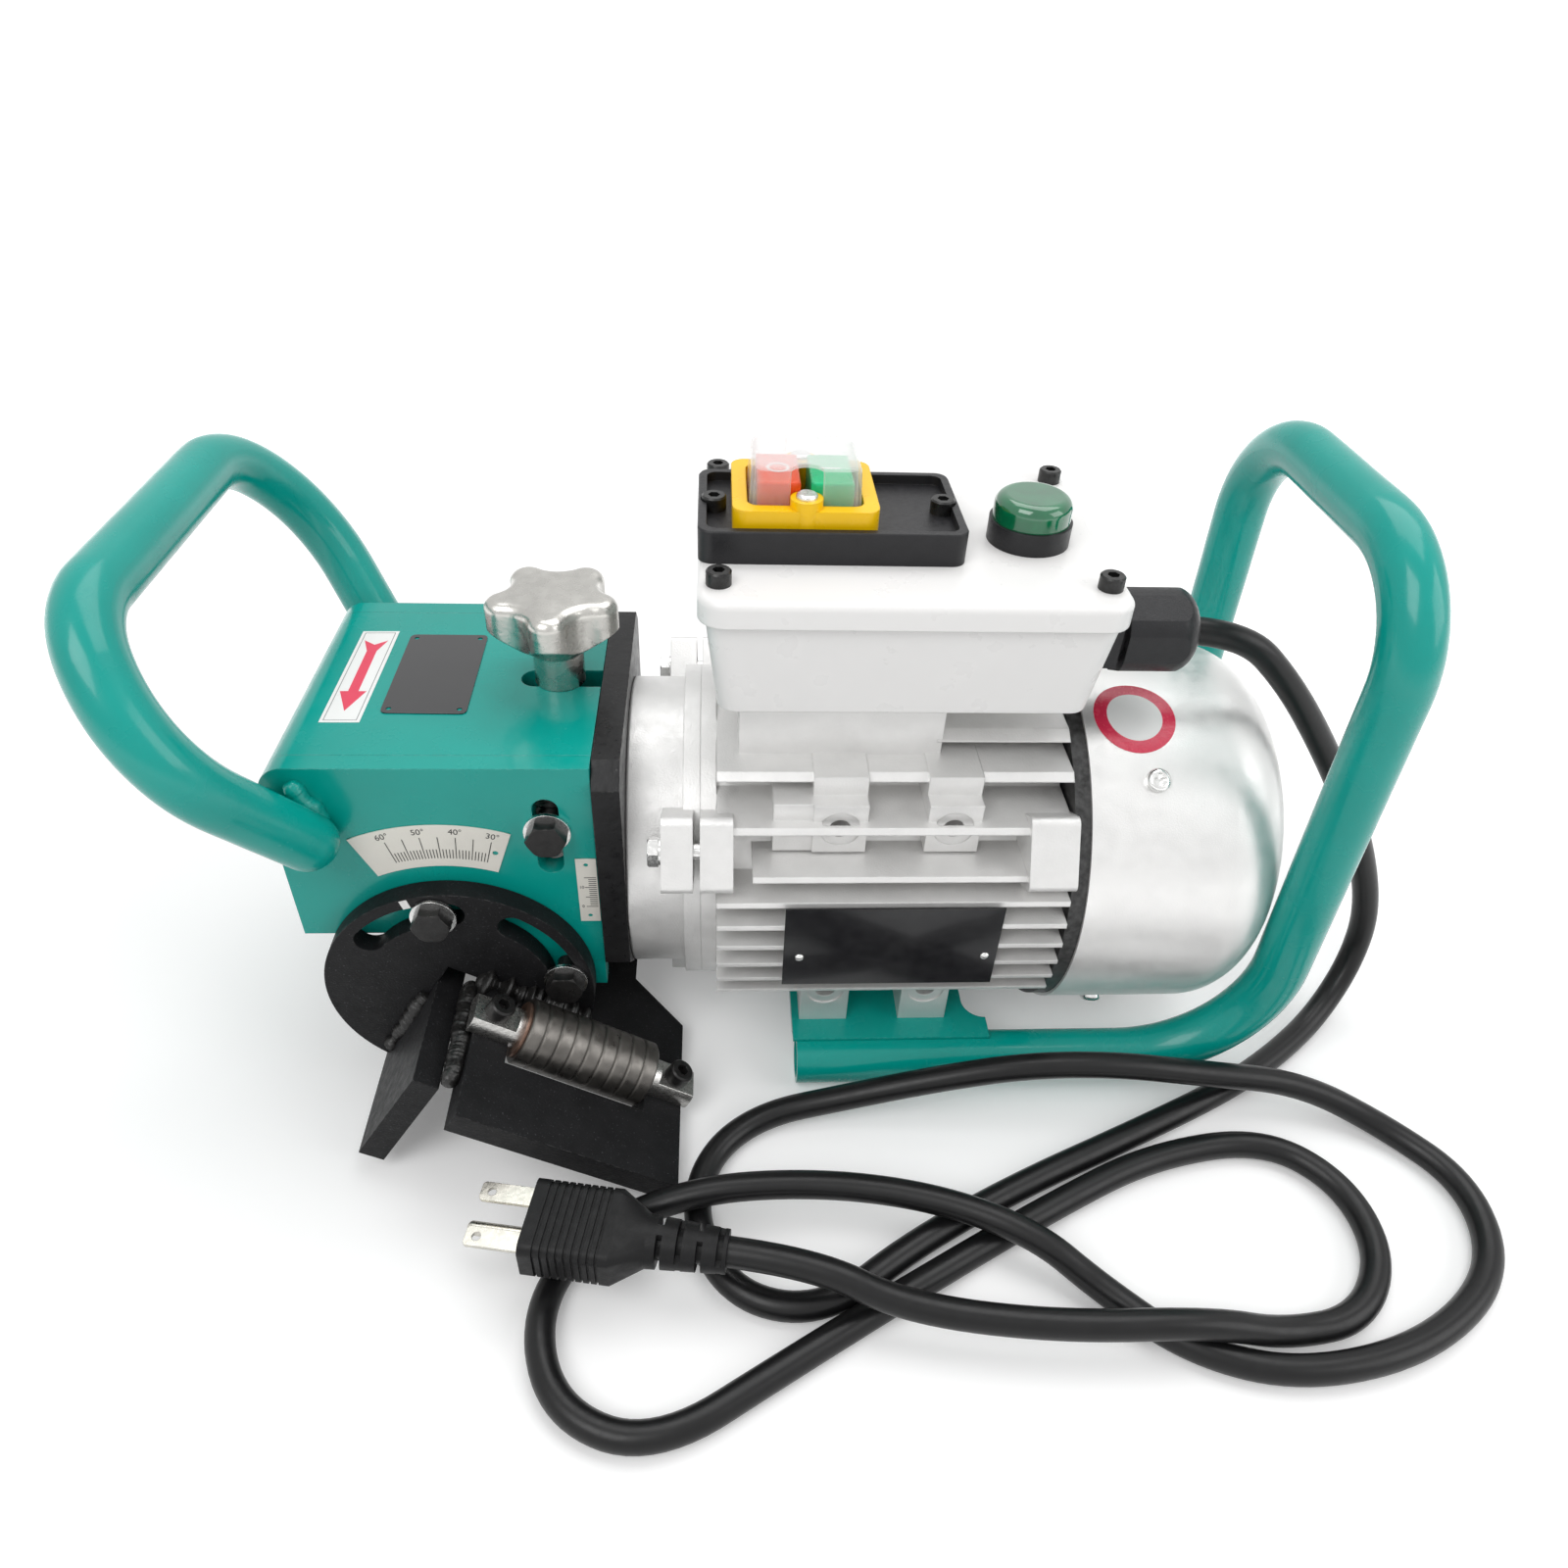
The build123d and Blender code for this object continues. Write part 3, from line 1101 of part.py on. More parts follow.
def cover_plate():
    """Bent plate: top and left end of the housing, with the slot of the depth screw."""
    half = INNER_HALF_W
    outer = block(HOUSING_LEFT_X, HOUSING_RIGHT_X, -half, half, HOUSING_LOW_Z, HOUSING_TOP_Z)
    outer = round_corner(outer, HOUSING_LEFT_X, HOUSING_TOP_Z, BEND_R)
    wall = HOUSING_WALL
    inner = block(
        HOUSING_LEFT_X + wall,
        HOUSING_RIGHT_X + CUT,
        -half - CUT,
        half + CUT,
        HOUSING_LOW_Z - CUT,
        HOUSING_TOP_Z - wall,
    )
    inner = round_corner(inner, HOUSING_LEFT_X + wall, HOUSING_TOP_Z - wall, BEND_R - wall)
    cover = outer - inner
    slot_r = KNOB_SLOT_W / 2
    z0, z1 = HOUSING_TOP_Z - wall - CUT, HOUSING_TOP_Z + CUT
    cover -= block(KNOB_SLOT_X + slot_r, HOUSING_RIGHT_X + CUT, -slot_r, slot_r, z0, z1)
    return cover - rod_z(slot_r, z0, z1, KNOB_SLOT_X + slot_r)


def side_plate_front():
    """Side plate of the housing with the slot of its clamp bolt and the disc's bolt holes."""
    plate = slab_y(bent_outline(0), -HOUSING_HALF_W, -INNER_HALF_W)
    plate = round_corner(plate, HOUSING_LEFT_X, HOUSING_TOP_Z, BEND_R)
    slot_r = CLAMP_SLOT_W / 2
    y0, y1 = -HOUSING_HALF_W - CUT, CUT - INNER_HALF_W
    plate -= block(CLAMP_X - slot_r, CLAMP_X + slot_r, y0, y1, CLAMP_SLOT_Z0 + slot_r, CLAMP_SLOT_Z1 - slot_r)
    for z in (CLAMP_SLOT_Z0 + slot_r, CLAMP_SLOT_Z1 - slot_r):
        plate -= rod_y(slot_r, y0, y1, CLAMP_X, z)
    for angle in DISC_BOLT_ANGLES:
        x, z = polar(DISC_SLOT_R, angle)
        plate -= rod_y(M8_R + FIT, y0, y1, PIVOT_X + x, PIVOT_Z + z)
    return plate


def clamp_bolts():
    """Bolts that clamp the housing to the cheeks at the set depth."""
    seat = HOUSING_HALF_W + WASHER_T
    length = seat - INNER_HALF_W + CHEEK_T
    bolt = Pos(CLAMP_X, -seat, CLAMP_Z) * Rot(90, 0, 0) * hex_bolt(M8_R, M8_HEX_HALF, M8_HEX_H, length)
    return group(both_sides(bolt))


def clamp_washers():
    """Bright washers under the clamp bolts."""
    ring = Pos(CLAMP_X, -HOUSING_HALF_W, CLAMP_Z) * Rot(90, 0, 0) * washer(M8_R + FIT, WASHER_R, WASHER_T)
    return group(both_sides(ring))


def disc_bolt_places():
    """Places of the two bolts of a disc, in X and Z."""
    offsets = [polar(DISC_SLOT_R, angle) for angle in DISC_BOLT_ANGLES]
    return [(PIVOT_X + x, PIVOT_Z + z) for x, z in offsets]


def disc_bolts():
    """Bolts in the side plates that guide and clamp the discs."""
    seat = HOUSING_HALF_W + DISC_T + GAP + WASHER_T
    length = seat - INNER_HALF_W
    bolt = Rot(90, 0, 0) * hex_bolt(M8_R, M8_HEX_HALF, M8_HEX_H, length)
    bolts = [Pos(x, -seat, z) * bolt for x, z in disc_bolt_places()]
    return group([piece for item in bolts for piece in both_sides(item)])


def disc_washers():
    """Bright washers under the disc bolts."""
    seat = HOUSING_HALF_W + DISC_T + GAP
    ring = Rot(90, 0, 0) * washer(M8_R + FIT, WASHER_R, WASHER_T)
    rings = [Pos(x, -seat, z) * ring for x, z in disc_bolt_places()]
    return group([piece for item in rings for piece in both_sides(item)])


def depth_screw():
    """Threaded spindle at its outer diameter, with the collar that holds it under the cover."""
    top = HOUSING_TOP_Z - HOUSING_WALL - GAP
    spindle = rod_z(SCREW_R, SCREW_LOW_Z, HOUSING_TOP_Z + KNOB_NECK_H, SCREW_X)
    return spindle + rod_z(COLLAR_R, top - COLLAR_H, top, SCREW_X)


def knob_outline():
    """Five-lobed outline of tangent arcs."""
    half_step = 180 / KNOB_LOBES
    lobe_at = KNOB_R - KNOB_LOBE_R
    hollow = KNOB_R - KNOB_WAVE
    reach = lobe_at * cos(radians(half_step))
    dip_r = (lobe_at**2 + hollow**2 - 2 * hollow * reach - KNOB_LOBE_R**2) / (
        2 * (KNOB_LOBE_R + reach - hollow)
    )
    lobe_share = KNOB_LOBE_R / (KNOB_LOBE_R + dip_r)
    dip = Vector(*polar(hollow + dip_r, half_step))
    lobe = Vector(lobe_at, 0)
    joint = lobe + (dip - lobe) * lobe_share
    arcs = []
    for index in range(KNOB_LOBES):
        turn = Rot(0, 0, 2 * half_step * index - KNOB_TURN)
        lobe_arc = ThreePointArc((joint.X, -joint.Y), (KNOB_R, 0), (joint.X, joint.Y))
        after = Vector(joint.X, -joint.Y).rotate(Axis.Z, 2 * half_step)
        dip_arc = ThreePointArc((joint.X, joint.Y), polar(hollow, half_step), (after.X, after.Y))
        arcs += [turn * lobe_arc, turn * dip_arc]
    return make_face(Curve() + arcs)


def star_knob():
    """Cast star knob with five lobes on a round neck."""
    z0 = HOUSING_TOP_Z + FIT
    top_z = HOUSING_TOP_Z + KNOB_H
    head_z = z0 + KNOB_HEAD_DROP
    rim_z = top_z - KNOB_RIM_H
    head = extrude(Pos(0, 0, head_z) * knob_outline(), amount=top_z - head_z)
    head = fillet(head.edges().group_by(Axis.Z)[-1], KNOB_EDGE_R)
    cone = Pos(0, 0, (head_z + rim_z) / 2) * Cone(KNOB_NECK_R, KNOB_R + CUT, rim_z - head_z)
    head = head & (cone + rod_z(KNOB_R + CUT, rim_z, top_z + CUT))
    knob = head + rod_z(KNOB_NECK_R, z0, head_z + CUT)
    knob -= rod_z(SCREW_R, z0 - CUT, HOUSING_TOP_Z + KNOB_NECK_H)
    return Pos(SCREW_X, 0, 0) * knob


def front_handle():
    """Front handle: one bent tube in a slanted plane, cut to lie against the side plates."""
    tilt = radians(FRONT_LOOP_TILT)
    near = [(FRONT_END_S, FRONT_END_Y), (FRONT_WIDE_S, FRONT_WIDE_Y), (FRONT_GRIP_S, FRONT_GRIP_Y)]
    flat = [(s, -y) for s, y in near] + [(s, y) for s, y in reversed(near)]
    points = [(FRONT_LOOP_X - s * cos(tilt), y, FRONT_LOOP_Z + s * sin(tilt)) for s, y in flat]
    radii = [FRONT_BEND_R1, FRONT_BEND_R2, FRONT_BEND_R2, FRONT_BEND_R1]
    handle = tube(points, radii, TUBE_R, TUBE_R - TUBE_WALL)
    for x, y, z in (points[0], points[-1]):
        handle += Pos(x, y, z) * Sphere(TUBE_R)
    return handle - block(
        HOUSING_LEFT_X, HOUSING_RIGHT_X, -HOUSING_HALF_W, HOUSING_HALF_W, HOUSING_LOW_Z, HOUSING_TOP_Z
    )


def arc_slot(radius, width, start, end, y0, y1):
    """Curved slot about the pivot, between two centre-line angles."""
    half = width / 2
    ring = rod_y(radius + half, y0, y1, PIVOT_X, PIVOT_Z)
    ring -= rod_y(radius - half, y0 - CUT, y1 + CUT, PIVOT_X, PIVOT_Z)
    reach = radius * 2
    middle = (start + end) / 2
    corners = [(PIVOT_X, PIVOT_Z)]
    for angle in (start, middle, end):
        x, z = polar(reach, angle)
        corners.append((PIVOT_X + x, PIVOT_Z + z))
    slot = ring & slab_y(corners, y0, y1)
    for angle in (start, end):
        x, z = polar(radius, angle)
        slot += rod_y(half, y0, y1, PIVOT_X + x, PIVOT_Z + z)
    return slot


def angle_disc_front():
    """Slotted disc that the V guide hangs from, notched for the plate edge."""
    y0, y1 = -HOUSING_HALF_W - DISC_T, -HOUSING_HALF_W - GAP
    disc = rod_y(DISC_R, y0, y1, PIVOT_X, PIVOT_Z)
    for start, end in DISC_SLOTS:
        disc -= arc_slot(DISC_SLOT_R, DISC_SLOT_W, start, end, y0 - CUT, y1 + CUT)
    notch = block(-GUIDE_T, DISC_R * 2, y0 - CUT, y1 + CUT, -DISC_R * 2, GUIDE_T)
    return disc - guide_place() * notch


def fence_plate():
    """Steep plate of the V guide, cut away in the middle for the cutter."""
    plate = block(-GUIDE_T, 0, -FENCE_HALF, FENCE_HALF, -FENCE_L, 0)
    plate -= block(-GUIDE_T - CUT, CUT, -THROAT_HALF, THROAT_HALF, THROAT_V, CUT)
    return guide_place() * plate


def roller_window():
    """Start and end of the roller window along the support plate."""
    return ROLLER_U0 - BRASS_W - WINDOW_MARGIN, ROLLER_U0 + ROLLER_COUNT * ROLLER_W + WINDOW_MARGIN


def support_plate():
    """Long plate of the V guide with the throat, the roller windows and cut corners at the waist."""
    half, end = SUPPORT_HALF, SUPPORT_L
    plate = block(SUPPORT_U0, end, -half, half, 0, GUIDE_T)
    throat = rounded_block(
        -THROAT_U, THROAT_U, -THROAT_HALF, THROAT_HALF, -CUT, GUIDE_T + CUT, SUPPORT_NOTCH_R
    )
    plate -= throat
    waist = [
        (end + CUT, -THROAT_HALF - CUT),
        (WAIST_U, -WAIST_Y),
        (WAIST_U, WAIST_Y),
        (end + CUT, THROAT_HALF + CUT),
    ]
    plate -= extrude(Pos(0, 0, -CUT) * make_face(Polyline(*waist, close=True)), amount=GUIDE_T + 2 * CUT)
    u0, u1 = roller_window()
    margin = ROLLER_R + WINDOW_MARGIN
    for y in (-ROLLER_Y, ROLLER_Y):
        plate -= block(u0, u1, y - margin, y + margin, -CUT, GUIDE_T + CUT)
        for u in (PIN_SCREW_U0, PIN_SCREW_U1):
            plate -= rod_z(M6_R + FIT, -CUT, GUIDE_T + CUT, u, y)
    return guide_place() * plate


def roller_pin(y):
    """Pin of a roller stack, flatted above and below at its ends."""
    pin = rod_x(ROLLER_BORE_R - RUN, PIN_U0, PIN_U1, y, ROLLER_V)
    reach = 2 * ROLLER_R
    top = ROLLER_V + PIN_TOP_FLAT
    for x0, x1 in ((PIN_U0 - CUT, PIN_U0 + PIN_FLAT_L0), (PIN_U1 - PIN_FLAT_L1, PIN_U1 + CUT)):
        pin -= block(x0, x1, y - reach, y + reach, top, top + reach)
    window = roller_window()
    for x0, x1 in ((PIN_U0 - CUT, window[0]), (window[1], PIN_U1 + CUT)):
        pin -= block(x0, x1, y - reach, y + reach, GUIDE_T - reach, GUIDE_T)
    for u in (PIN_SCREW_U0, PIN_SCREW_U1):
        pin -= rod_z(M6_R + FIT, 0, top + CUT, u, y)
    return pin


def roller_pins():
    """Front and rear pin."""
    return guide_place() * group([roller_pin(-ROLLER_Y), roller_pin(ROLLER_Y)])


def pin_screws():
    """Socket screws through the pin ends into the support plate."""
    top = ROLLER_V + PIN_TOP_FLAT
    screw = socket_screw(M6_R, M6_HEAD_R, M6_HEAD_H, top - GAP)
    places = [(u, y) for u in (PIN_SCREW_U0, PIN_SCREW_U1) for y in (-ROLLER_Y, ROLLER_Y)]
    return guide_place() * group([Pos(u, y, top) * screw for u, y in places])


def pin_washers():
    """Copper washer at the upper end of each stack."""
    rings = []
    for y in (-ROLLER_Y, ROLLER_Y):
        x1 = ROLLER_U0 - FIT
        ring = rod_x(ROLLER_R - RACE_T, x1 - BRASS_W, x1, y, ROLLER_V)
        rings.append(ring - rod_x(ROLLER_BORE_R, x1 - BRASS_W - CUT, x1 + CUT, y, ROLLER_V))
    return guide_place() * group(rings)


def roller_stack(y):
    """Row of thin ball bearings that rolls along the plate edge."""
    rings = []
    for index in range(ROLLER_COUNT):
        x0 = ROLLER_U0 + index * ROLLER_W
        x1 = x0 + ROLLER_W - FIT
        ring = rod_x(ROLLER_R, x0, x1, y, ROLLER_V)
        ring = chamfer(ring.edges(), ROLLER_W / 10)
        for start in (x0 - CUT, x1 - GAP):
            dish = rod_x(ROLLER_R - RACE_T, start, start + CUT + GAP, y, ROLLER_V)
            ring -= dish - rod_x(ROLLER_BORE_R + RACE_T / 2, start, start + CUT + GAP, y, ROLLER_V)
        rings.append(ring - rod_x(ROLLER_BORE_R, x0 - CUT, x1 + CUT, y, ROLLER_V))
    return guide_place() * group(rings)


def cutter_holder():
    """Sleeve on the motor shaft with a flange and the arbor of the cutter."""
    flange_x = CUTTER_X1 + HOLDER_FLANGE_T
    holder = rod_x(HOLDER_R, flange_x, HOLDER_GAP_X) + rod_x(HOLDER_FLANGE_R, CUTTER_X1, flange_x)
    holder += rod_x(ARBOR_R, CUTTER_X1 - ARBOR_L, CUTTER_X1)
    holder -= rod_x(SHAFT_R, -SHAFT_OUT, CUT)
    return holder - rod_x(M5_R * 2, CUTTER_X1 - ARBOR_L - CUT, -SHAFT_OUT + CUT)


def insert_x(row, flute):
    """Start of an insert along X: rows are staggered from flute to flute."""
    pitch = (CUTTER_X1 - CUTTER_X0 - INSERT_SIDE) / (CUTTER_ROWS - 1)
    return CUTTER_X0 + pitch * row * (1 - 0.04 * flute)


def cutter_inserts():
    """Square carbide inserts in the flutes of the cutter."""
    inserts = []
    for flute in range(CUTTER_FLUTES):
        for row in range(CUTTER_ROWS):
            x0 = insert_x(row, flute)
            plate = block(x0, x0 + INSERT_SIDE, 0, INSERT_T, CUTTER_TIP_R - INSERT_SIDE, CUTTER_TIP_R)
            middle = INSERT_SIDE / 2
            plate -= rod_y(M5_R, INSERT_T / 2, INSERT_T + CUT, x0 + middle, CUTTER_TIP_R - middle)
            inserts.append(Rot(360 * flute / CUTTER_FLUTES, 0, 0) * plate)
    return group(inserts)


def milling_cutter():
    """Body of the milling cutter: flutes, insert pockets, bore and screw pocket."""
    body = rod_x(CUTTER_BODY_R, CUTTER_X0, CUTTER_X1)
    body = chamfer(body.edges(), CUTTER_BODY_R / 20)
    low = CUTTER_TIP_R - INSERT_SIDE
    for flute in range(CUTTER_FLUTES):
        turn = Rot(360 * flute / CUTTER_FLUTES, 0, 0)
        gullet_r = INSERT_SIDE * 0.6
        gullet_y = INSERT_T + gullet_r * GULLET_OFFSET_SHARE
        gullet = rod_x(gullet_r, CUTTER_X0 - CUT, CUTTER_X1 - HOLDER_FLANGE_T / 2, gullet_y, CUTTER_BODY_R)
        body -= turn * gullet
        for row in range(CUTTER_ROWS):
            x0 = insert_x(row, flute)
            body -= turn * block(x0 - FIT, x0 + INSERT_SIDE + FIT, 0, INSERT_T + CUT, low, CUTTER_TIP_R + CUT)
    body -= rod_x(ARBOR_R, CUTTER_X0, CUTTER_X1 + CUT)
    return body - rod_x(CUTTER_POCKET_R, CUTTER_X0 - CUT, CUTTER_X0 + CUTTER_POCKET_D)


def cutter_screw():
    """Central screw that holds the cutter on its arbor."""
    head_x = CUTTER_X0 + CUTTER_POCKET_D
    screw = socket_screw(M5_R * 2, CUTTER_POCKET_R - GAP, CUTTER_POCKET_D / 2, CUTTER_X1 - head_x)
    return Pos(head_x, 0, 0) * Rot(0, -90, 0) * screw


def plug_place():
    """Frame of the plug: X runs from its front face to the strain relief."""
    return Pos(PLUG_X, PLUG_Y, PLUG_Z) * Rot(0, 0, PLUG_TURN)


def plug_body():
    """Moulded plug: ribbed block, tapered neck and slotted strain relief."""
    outline = RectangleRounded(PLUG_W, PLUG_H, PLUG_CORNER_R)
    upright = Rot(0, 90, 0) * Rot(0, 0, 90)
    body = upright * extrude(outline, amount=PLUG_BLOCK_L)
    core = upright * extrude(
        RectangleRounded(PLUG_W - 2 * PLUG_RIB_D, PLUG_H - 2 * PLUG_RIB_D, PLUG_CORNER_R - PLUG_RIB_D),
        amount=PLUG_BLOCK_L,
    )
    for index in range(PLUG_RIBS):
        x0 = PLUG_RIB_START + index * PLUG_RIB_PITCH
        body -= block(x0, x0 + PLUG_RIB_W, -PLUG_W, PLUG_W, -PLUG_H, PLUG_H) - core
    neck_x = PLUG_BLOCK_L + PLUG_NECK_L
    shoulder = Pos(PLUG_BLOCK_L, 0, 0) * upright * outline
    body += loft([shoulder, Pos(neck_x, 0, 0) * upright * Circle(RELIEF_R0)])
    relief_l = PLUG_L - neck_x
    relief = Pos(neck_x + relief_l / 2, 0, 0) * Rot(0, 90, 0) * Cone(RELIEF_R0, RELIEF_R1, relief_l)
    for index in range(RELIEF_RINGS):
        x0 = neck_x + relief_l * (index + 0.5) / RELIEF_RINGS
        x1 = x0 + RELIEF_SLOT
        ring = rod_x(RELIEF_R0 + CUT, x0, x1) - rod_x(RELIEF_R1 - RELIEF_SLOT_D, x0, x1)
        rib = block(x0, x0 + RELIEF_SLOT, -RELIEF_R0, RELIEF_R0, -RELIEF_SLOT, RELIEF_SLOT)
        rib = rib if index % 2 else Rot(90, 0, 0) * rib
        relief -= ring - rib
    return plug_place() * (body + relief)


def plug_prongs():
    """Two flat blades with holes and, below them, the longer round earth pin."""
    prongs = []
    half = BLADE_T / 2
    for y in (-BLADE_SPACING / 2, BLADE_SPACING / 2):
        blade = block(-BLADE_L, 0, y - BLADE_W / 2, y + BLADE_W / 2, BLADE_RISE - half, BLADE_RISE + half)
        blade = fillet(blade.edges().filter_by(Axis.Z).group_by(Axis.X)[0], BLADE_W / 5)
        prongs.append(blade - rod_z(BLADE_HOLE_R, 0, 2 * BLADE_RISE, -BLADE_L * 0.8, y))
    pin = rod_x(EARTH_PIN_R, -EARTH_PIN_L, 0, 0, -EARTH_PIN_DROP)
    prongs.append(fillet(pin.edges().group_by(Axis.X)[0], EARTH_PIN_R * 0.8))
    return plug_place() * group(prongs)


def cord_points():
    """Corners of the cord's route, from the gland to the strain relief of the plug."""
    floor_z = FLOOR_Z + CORD_R
    start_x = GLAND_SEAT_X + GLAND_HEX_L + FIN_TIP_T + GLAND_NUT_L - GLAND_MOUTH_L
    points = [(start_x, GLAND_Y, GLAND_Z)]
    points += [(x, y, floor_z + rise) for x, y, rise in CORD_ROUTE]
    for reach in (PLUG_L + PLUG_BLOCK_L, PLUG_L):
        end = (plug_place() * Pos(reach, 0, 0)).position
        points.append((end.X, end.Y, end.Z))
    return [Vector(*point) for point in points]


def cord_radii(points):
    """Radius of each arc of the cord, from its turn and its shorter run."""
    radii = []
    for before, corner, after in zip(points, points[1:], points[2:]):
        turn = radians((corner - before).get_angle(after - corner))
        shorter = min((corner - before).length, (after - corner).length)
        radii.append(CORD_BEND_SHARE * shorter / tan(turn / 2))
    return radii


def power_cord():
    """Cord as one tube along straight runs and arcs."""
    points = cord_points()
    radii = cord_radii(points)
    path = FilletPolyline(*points, radius=radii)
    cord = sweep(Plane(origin=path @ 0, z_dir=path % 0) * Circle(CORD_R), path=path)
    print("cord radii", [round(radius) for radius in radii])
    share = cord.volume / (pi * CORD_R**2 * path.length)
    print("cord length", round(path.length), "volume share", round(share, 5))
    return cord


def motor_nameplate():
    """Bare plate riveted across the fins."""
    return block(NAMEPLATE_X0, NAMEPLATE_X1, -FIN_R - LABEL_T, -FIN_R, NAMEPLATE_Z0, NAMEPLATE_Z1)


def build_machine():
    """Every node of the machine by name."""
    return {
        "motor_plate": motor_plate(),
        "plate_bolts": plate_bolts(),
        "guide_cheeks": guide_cheeks(),
        "lift_nut": lift_nut(),
        "front_end_shield": front_end_shield(),
        "stator_frame": stator_frame(),
        "rear_end_shield": rear_end_shield(),
        "end_shield_bolts": end_shield_bolts(),
        "motor_bearings": group([bearing(BEARING_FRONT_X), bearing(BEARING_REAR_X)]),
        "shaft_seal": shaft_seal(),
        "stator_core": group([stator_core(), stator_windings()]),
        "fan_cowl": fan_cowl(),
        "cowl_screws": cowl_screws(),
        "motor_nameplate": motor_nameplate(),
        "rear_handle": rear_handle(),
        "handle_bracket": handle_bracket(),
        "bracket_bolts": bracket_bolts(),
        "control_box": control_box(),
        "box_gasket": box_gasket(),
        "box_lid": box_lid(),
        "box_screws": group([lid_screws(), switch_base_screws(), frame_screws()]),
        "switch_base": switch_base(),
        "switch_frame": switch_frame(),
        "switch_cap": switch_cap(),
        "switch_block": switch_block(),
        "stop_button": button(-1),
        "start_button": button(1),
        "lamp_ring": lamp_ring(),
        "lamp_lens": lamp_lens(),
        "gland_body": gland_body(),
        "gland_nut": gland_nut(),
        "power_cord": power_cord(),
        "plug_body": plug_body(),
        "plug_prongs": plug_prongs(),
        "rotor_shaft": rotor_shaft(),
        "rotor": rotor(),
        "cooling_fan": cooling_fan(),
        "cutter_holder": cutter_holder(),
        "milling_cutter": milling_cutter(),
        "cutter_inserts": cutter_inserts(),
        "cutter_screw": cutter_screw(),
        "cover_plate": cover_plate(),
        "side_plate_front": side_plate_front(),
        "side_plate_rear": side_plate_front().mirror(Plane.XZ),
        "clamp_bolts": clamp_bolts(),
        "clamp_washers": clamp_washers(),
        "disc_bolts": disc_bolts(),
        "disc_washers": disc_washers(),
        "front_handle": front_handle(),
        "depth_screw": depth_screw(),
        "star_knob": star_knob(),
        "angle_disc_front": angle_disc_front(),
        "angle_disc_rear": angle_disc_front().mirror(Plane.XZ),
        "fence_plate": fence_plate(),
        "support_plate": support_plate(),
        "roller_pins": roller_pins(),
        "pin_screws": pin_screws(),
        "pin_washers": pin_washers(),
        "roller_front": roller_stack(-ROLLER_Y),
        "roller_rear": roller_stack(ROLLER_Y),
    }


os.makedirs("parts", exist_ok=True)
ORIGIN = Pos(-MIDDLE_X, 0, -FLOOR_Z)
for node, shape in build_machine().items():
    solids = [ORIGIN * solid for solid in shape.solids()]
    export_step(Compound(solids) if len(solids) > 1 else solids[0], f"parts/{node}.step")
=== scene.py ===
from math import cos, pi, radians, sin

import bmesh
import bpy
from mathutils import Matrix, Vector, noise


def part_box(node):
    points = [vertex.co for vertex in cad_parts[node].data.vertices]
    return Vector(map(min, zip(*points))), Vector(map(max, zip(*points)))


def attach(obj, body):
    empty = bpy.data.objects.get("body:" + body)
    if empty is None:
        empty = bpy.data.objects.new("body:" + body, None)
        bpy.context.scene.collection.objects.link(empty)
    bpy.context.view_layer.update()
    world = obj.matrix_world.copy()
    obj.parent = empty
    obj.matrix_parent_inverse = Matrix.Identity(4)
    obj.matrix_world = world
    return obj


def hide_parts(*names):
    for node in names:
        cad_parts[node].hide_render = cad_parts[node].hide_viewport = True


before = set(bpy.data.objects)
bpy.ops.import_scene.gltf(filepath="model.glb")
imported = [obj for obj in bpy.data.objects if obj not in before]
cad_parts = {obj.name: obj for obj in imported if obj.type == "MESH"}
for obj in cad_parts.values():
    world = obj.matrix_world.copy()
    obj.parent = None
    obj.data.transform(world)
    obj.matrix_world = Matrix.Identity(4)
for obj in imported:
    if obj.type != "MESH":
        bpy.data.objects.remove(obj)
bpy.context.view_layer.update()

# The machine is drawn in millimetres about the motor, as its solids are: X from the motor's
# mounting face towards the fan, Z from the motor's axis. place() moves a point to the frame,
# in metres.
MM = 0.001
MIDDLE_X = 51.414296577243235
FLOOR_Z = -84.5
HOUSING_TOP = 70.0
HOUSING_FRONT = -57.5
FIN_FRONT = -79.0
DISC_FRONT = -66.0
PIVOT_X, PIVOT_Z, GUIDE_TILT = -66.5, -34.0, radians(32)
COWL_R = 76.8
FRAME_SCREW_X = 63.5

AXIS_X, AXIS_Y, AXIS_Z = Vector((1, 0, 0)), Vector((0, 1, 0)), Vector((0, 0, 1))
SAME_POINT = 1e-6


def place(x, y, z):
    return Vector(((x - MIDDLE_X) * MM, y * MM, (z - FLOOR_Z) * MM))


def guide_point(u, y, v):
    """Point given along the support plate, across it and away from its working face."""
    x = PIVOT_X + u * cos(GUIDE_TILT) + v * sin(GUIDE_TILT)
    z = PIVOT_Z - u * sin(GUIDE_TILT) + v * cos(GUIDE_TILT)
    return Vector((x, y, z))


# Camera
CAMERA_X, CAMERA_Y, CAMERA_Z = -0.018244, -0.36286, 0.39046
CAMERA_PITCH, CAMERA_YAW, CAMERA_ROLL = 0.66921941, 0.08041864, 0.05076884
CAMERA_LENS, CAMERA_SENSOR = 25.34, 36.0
CAMERA_NEAR, CAMERA_FAR = 0.01, 60.0


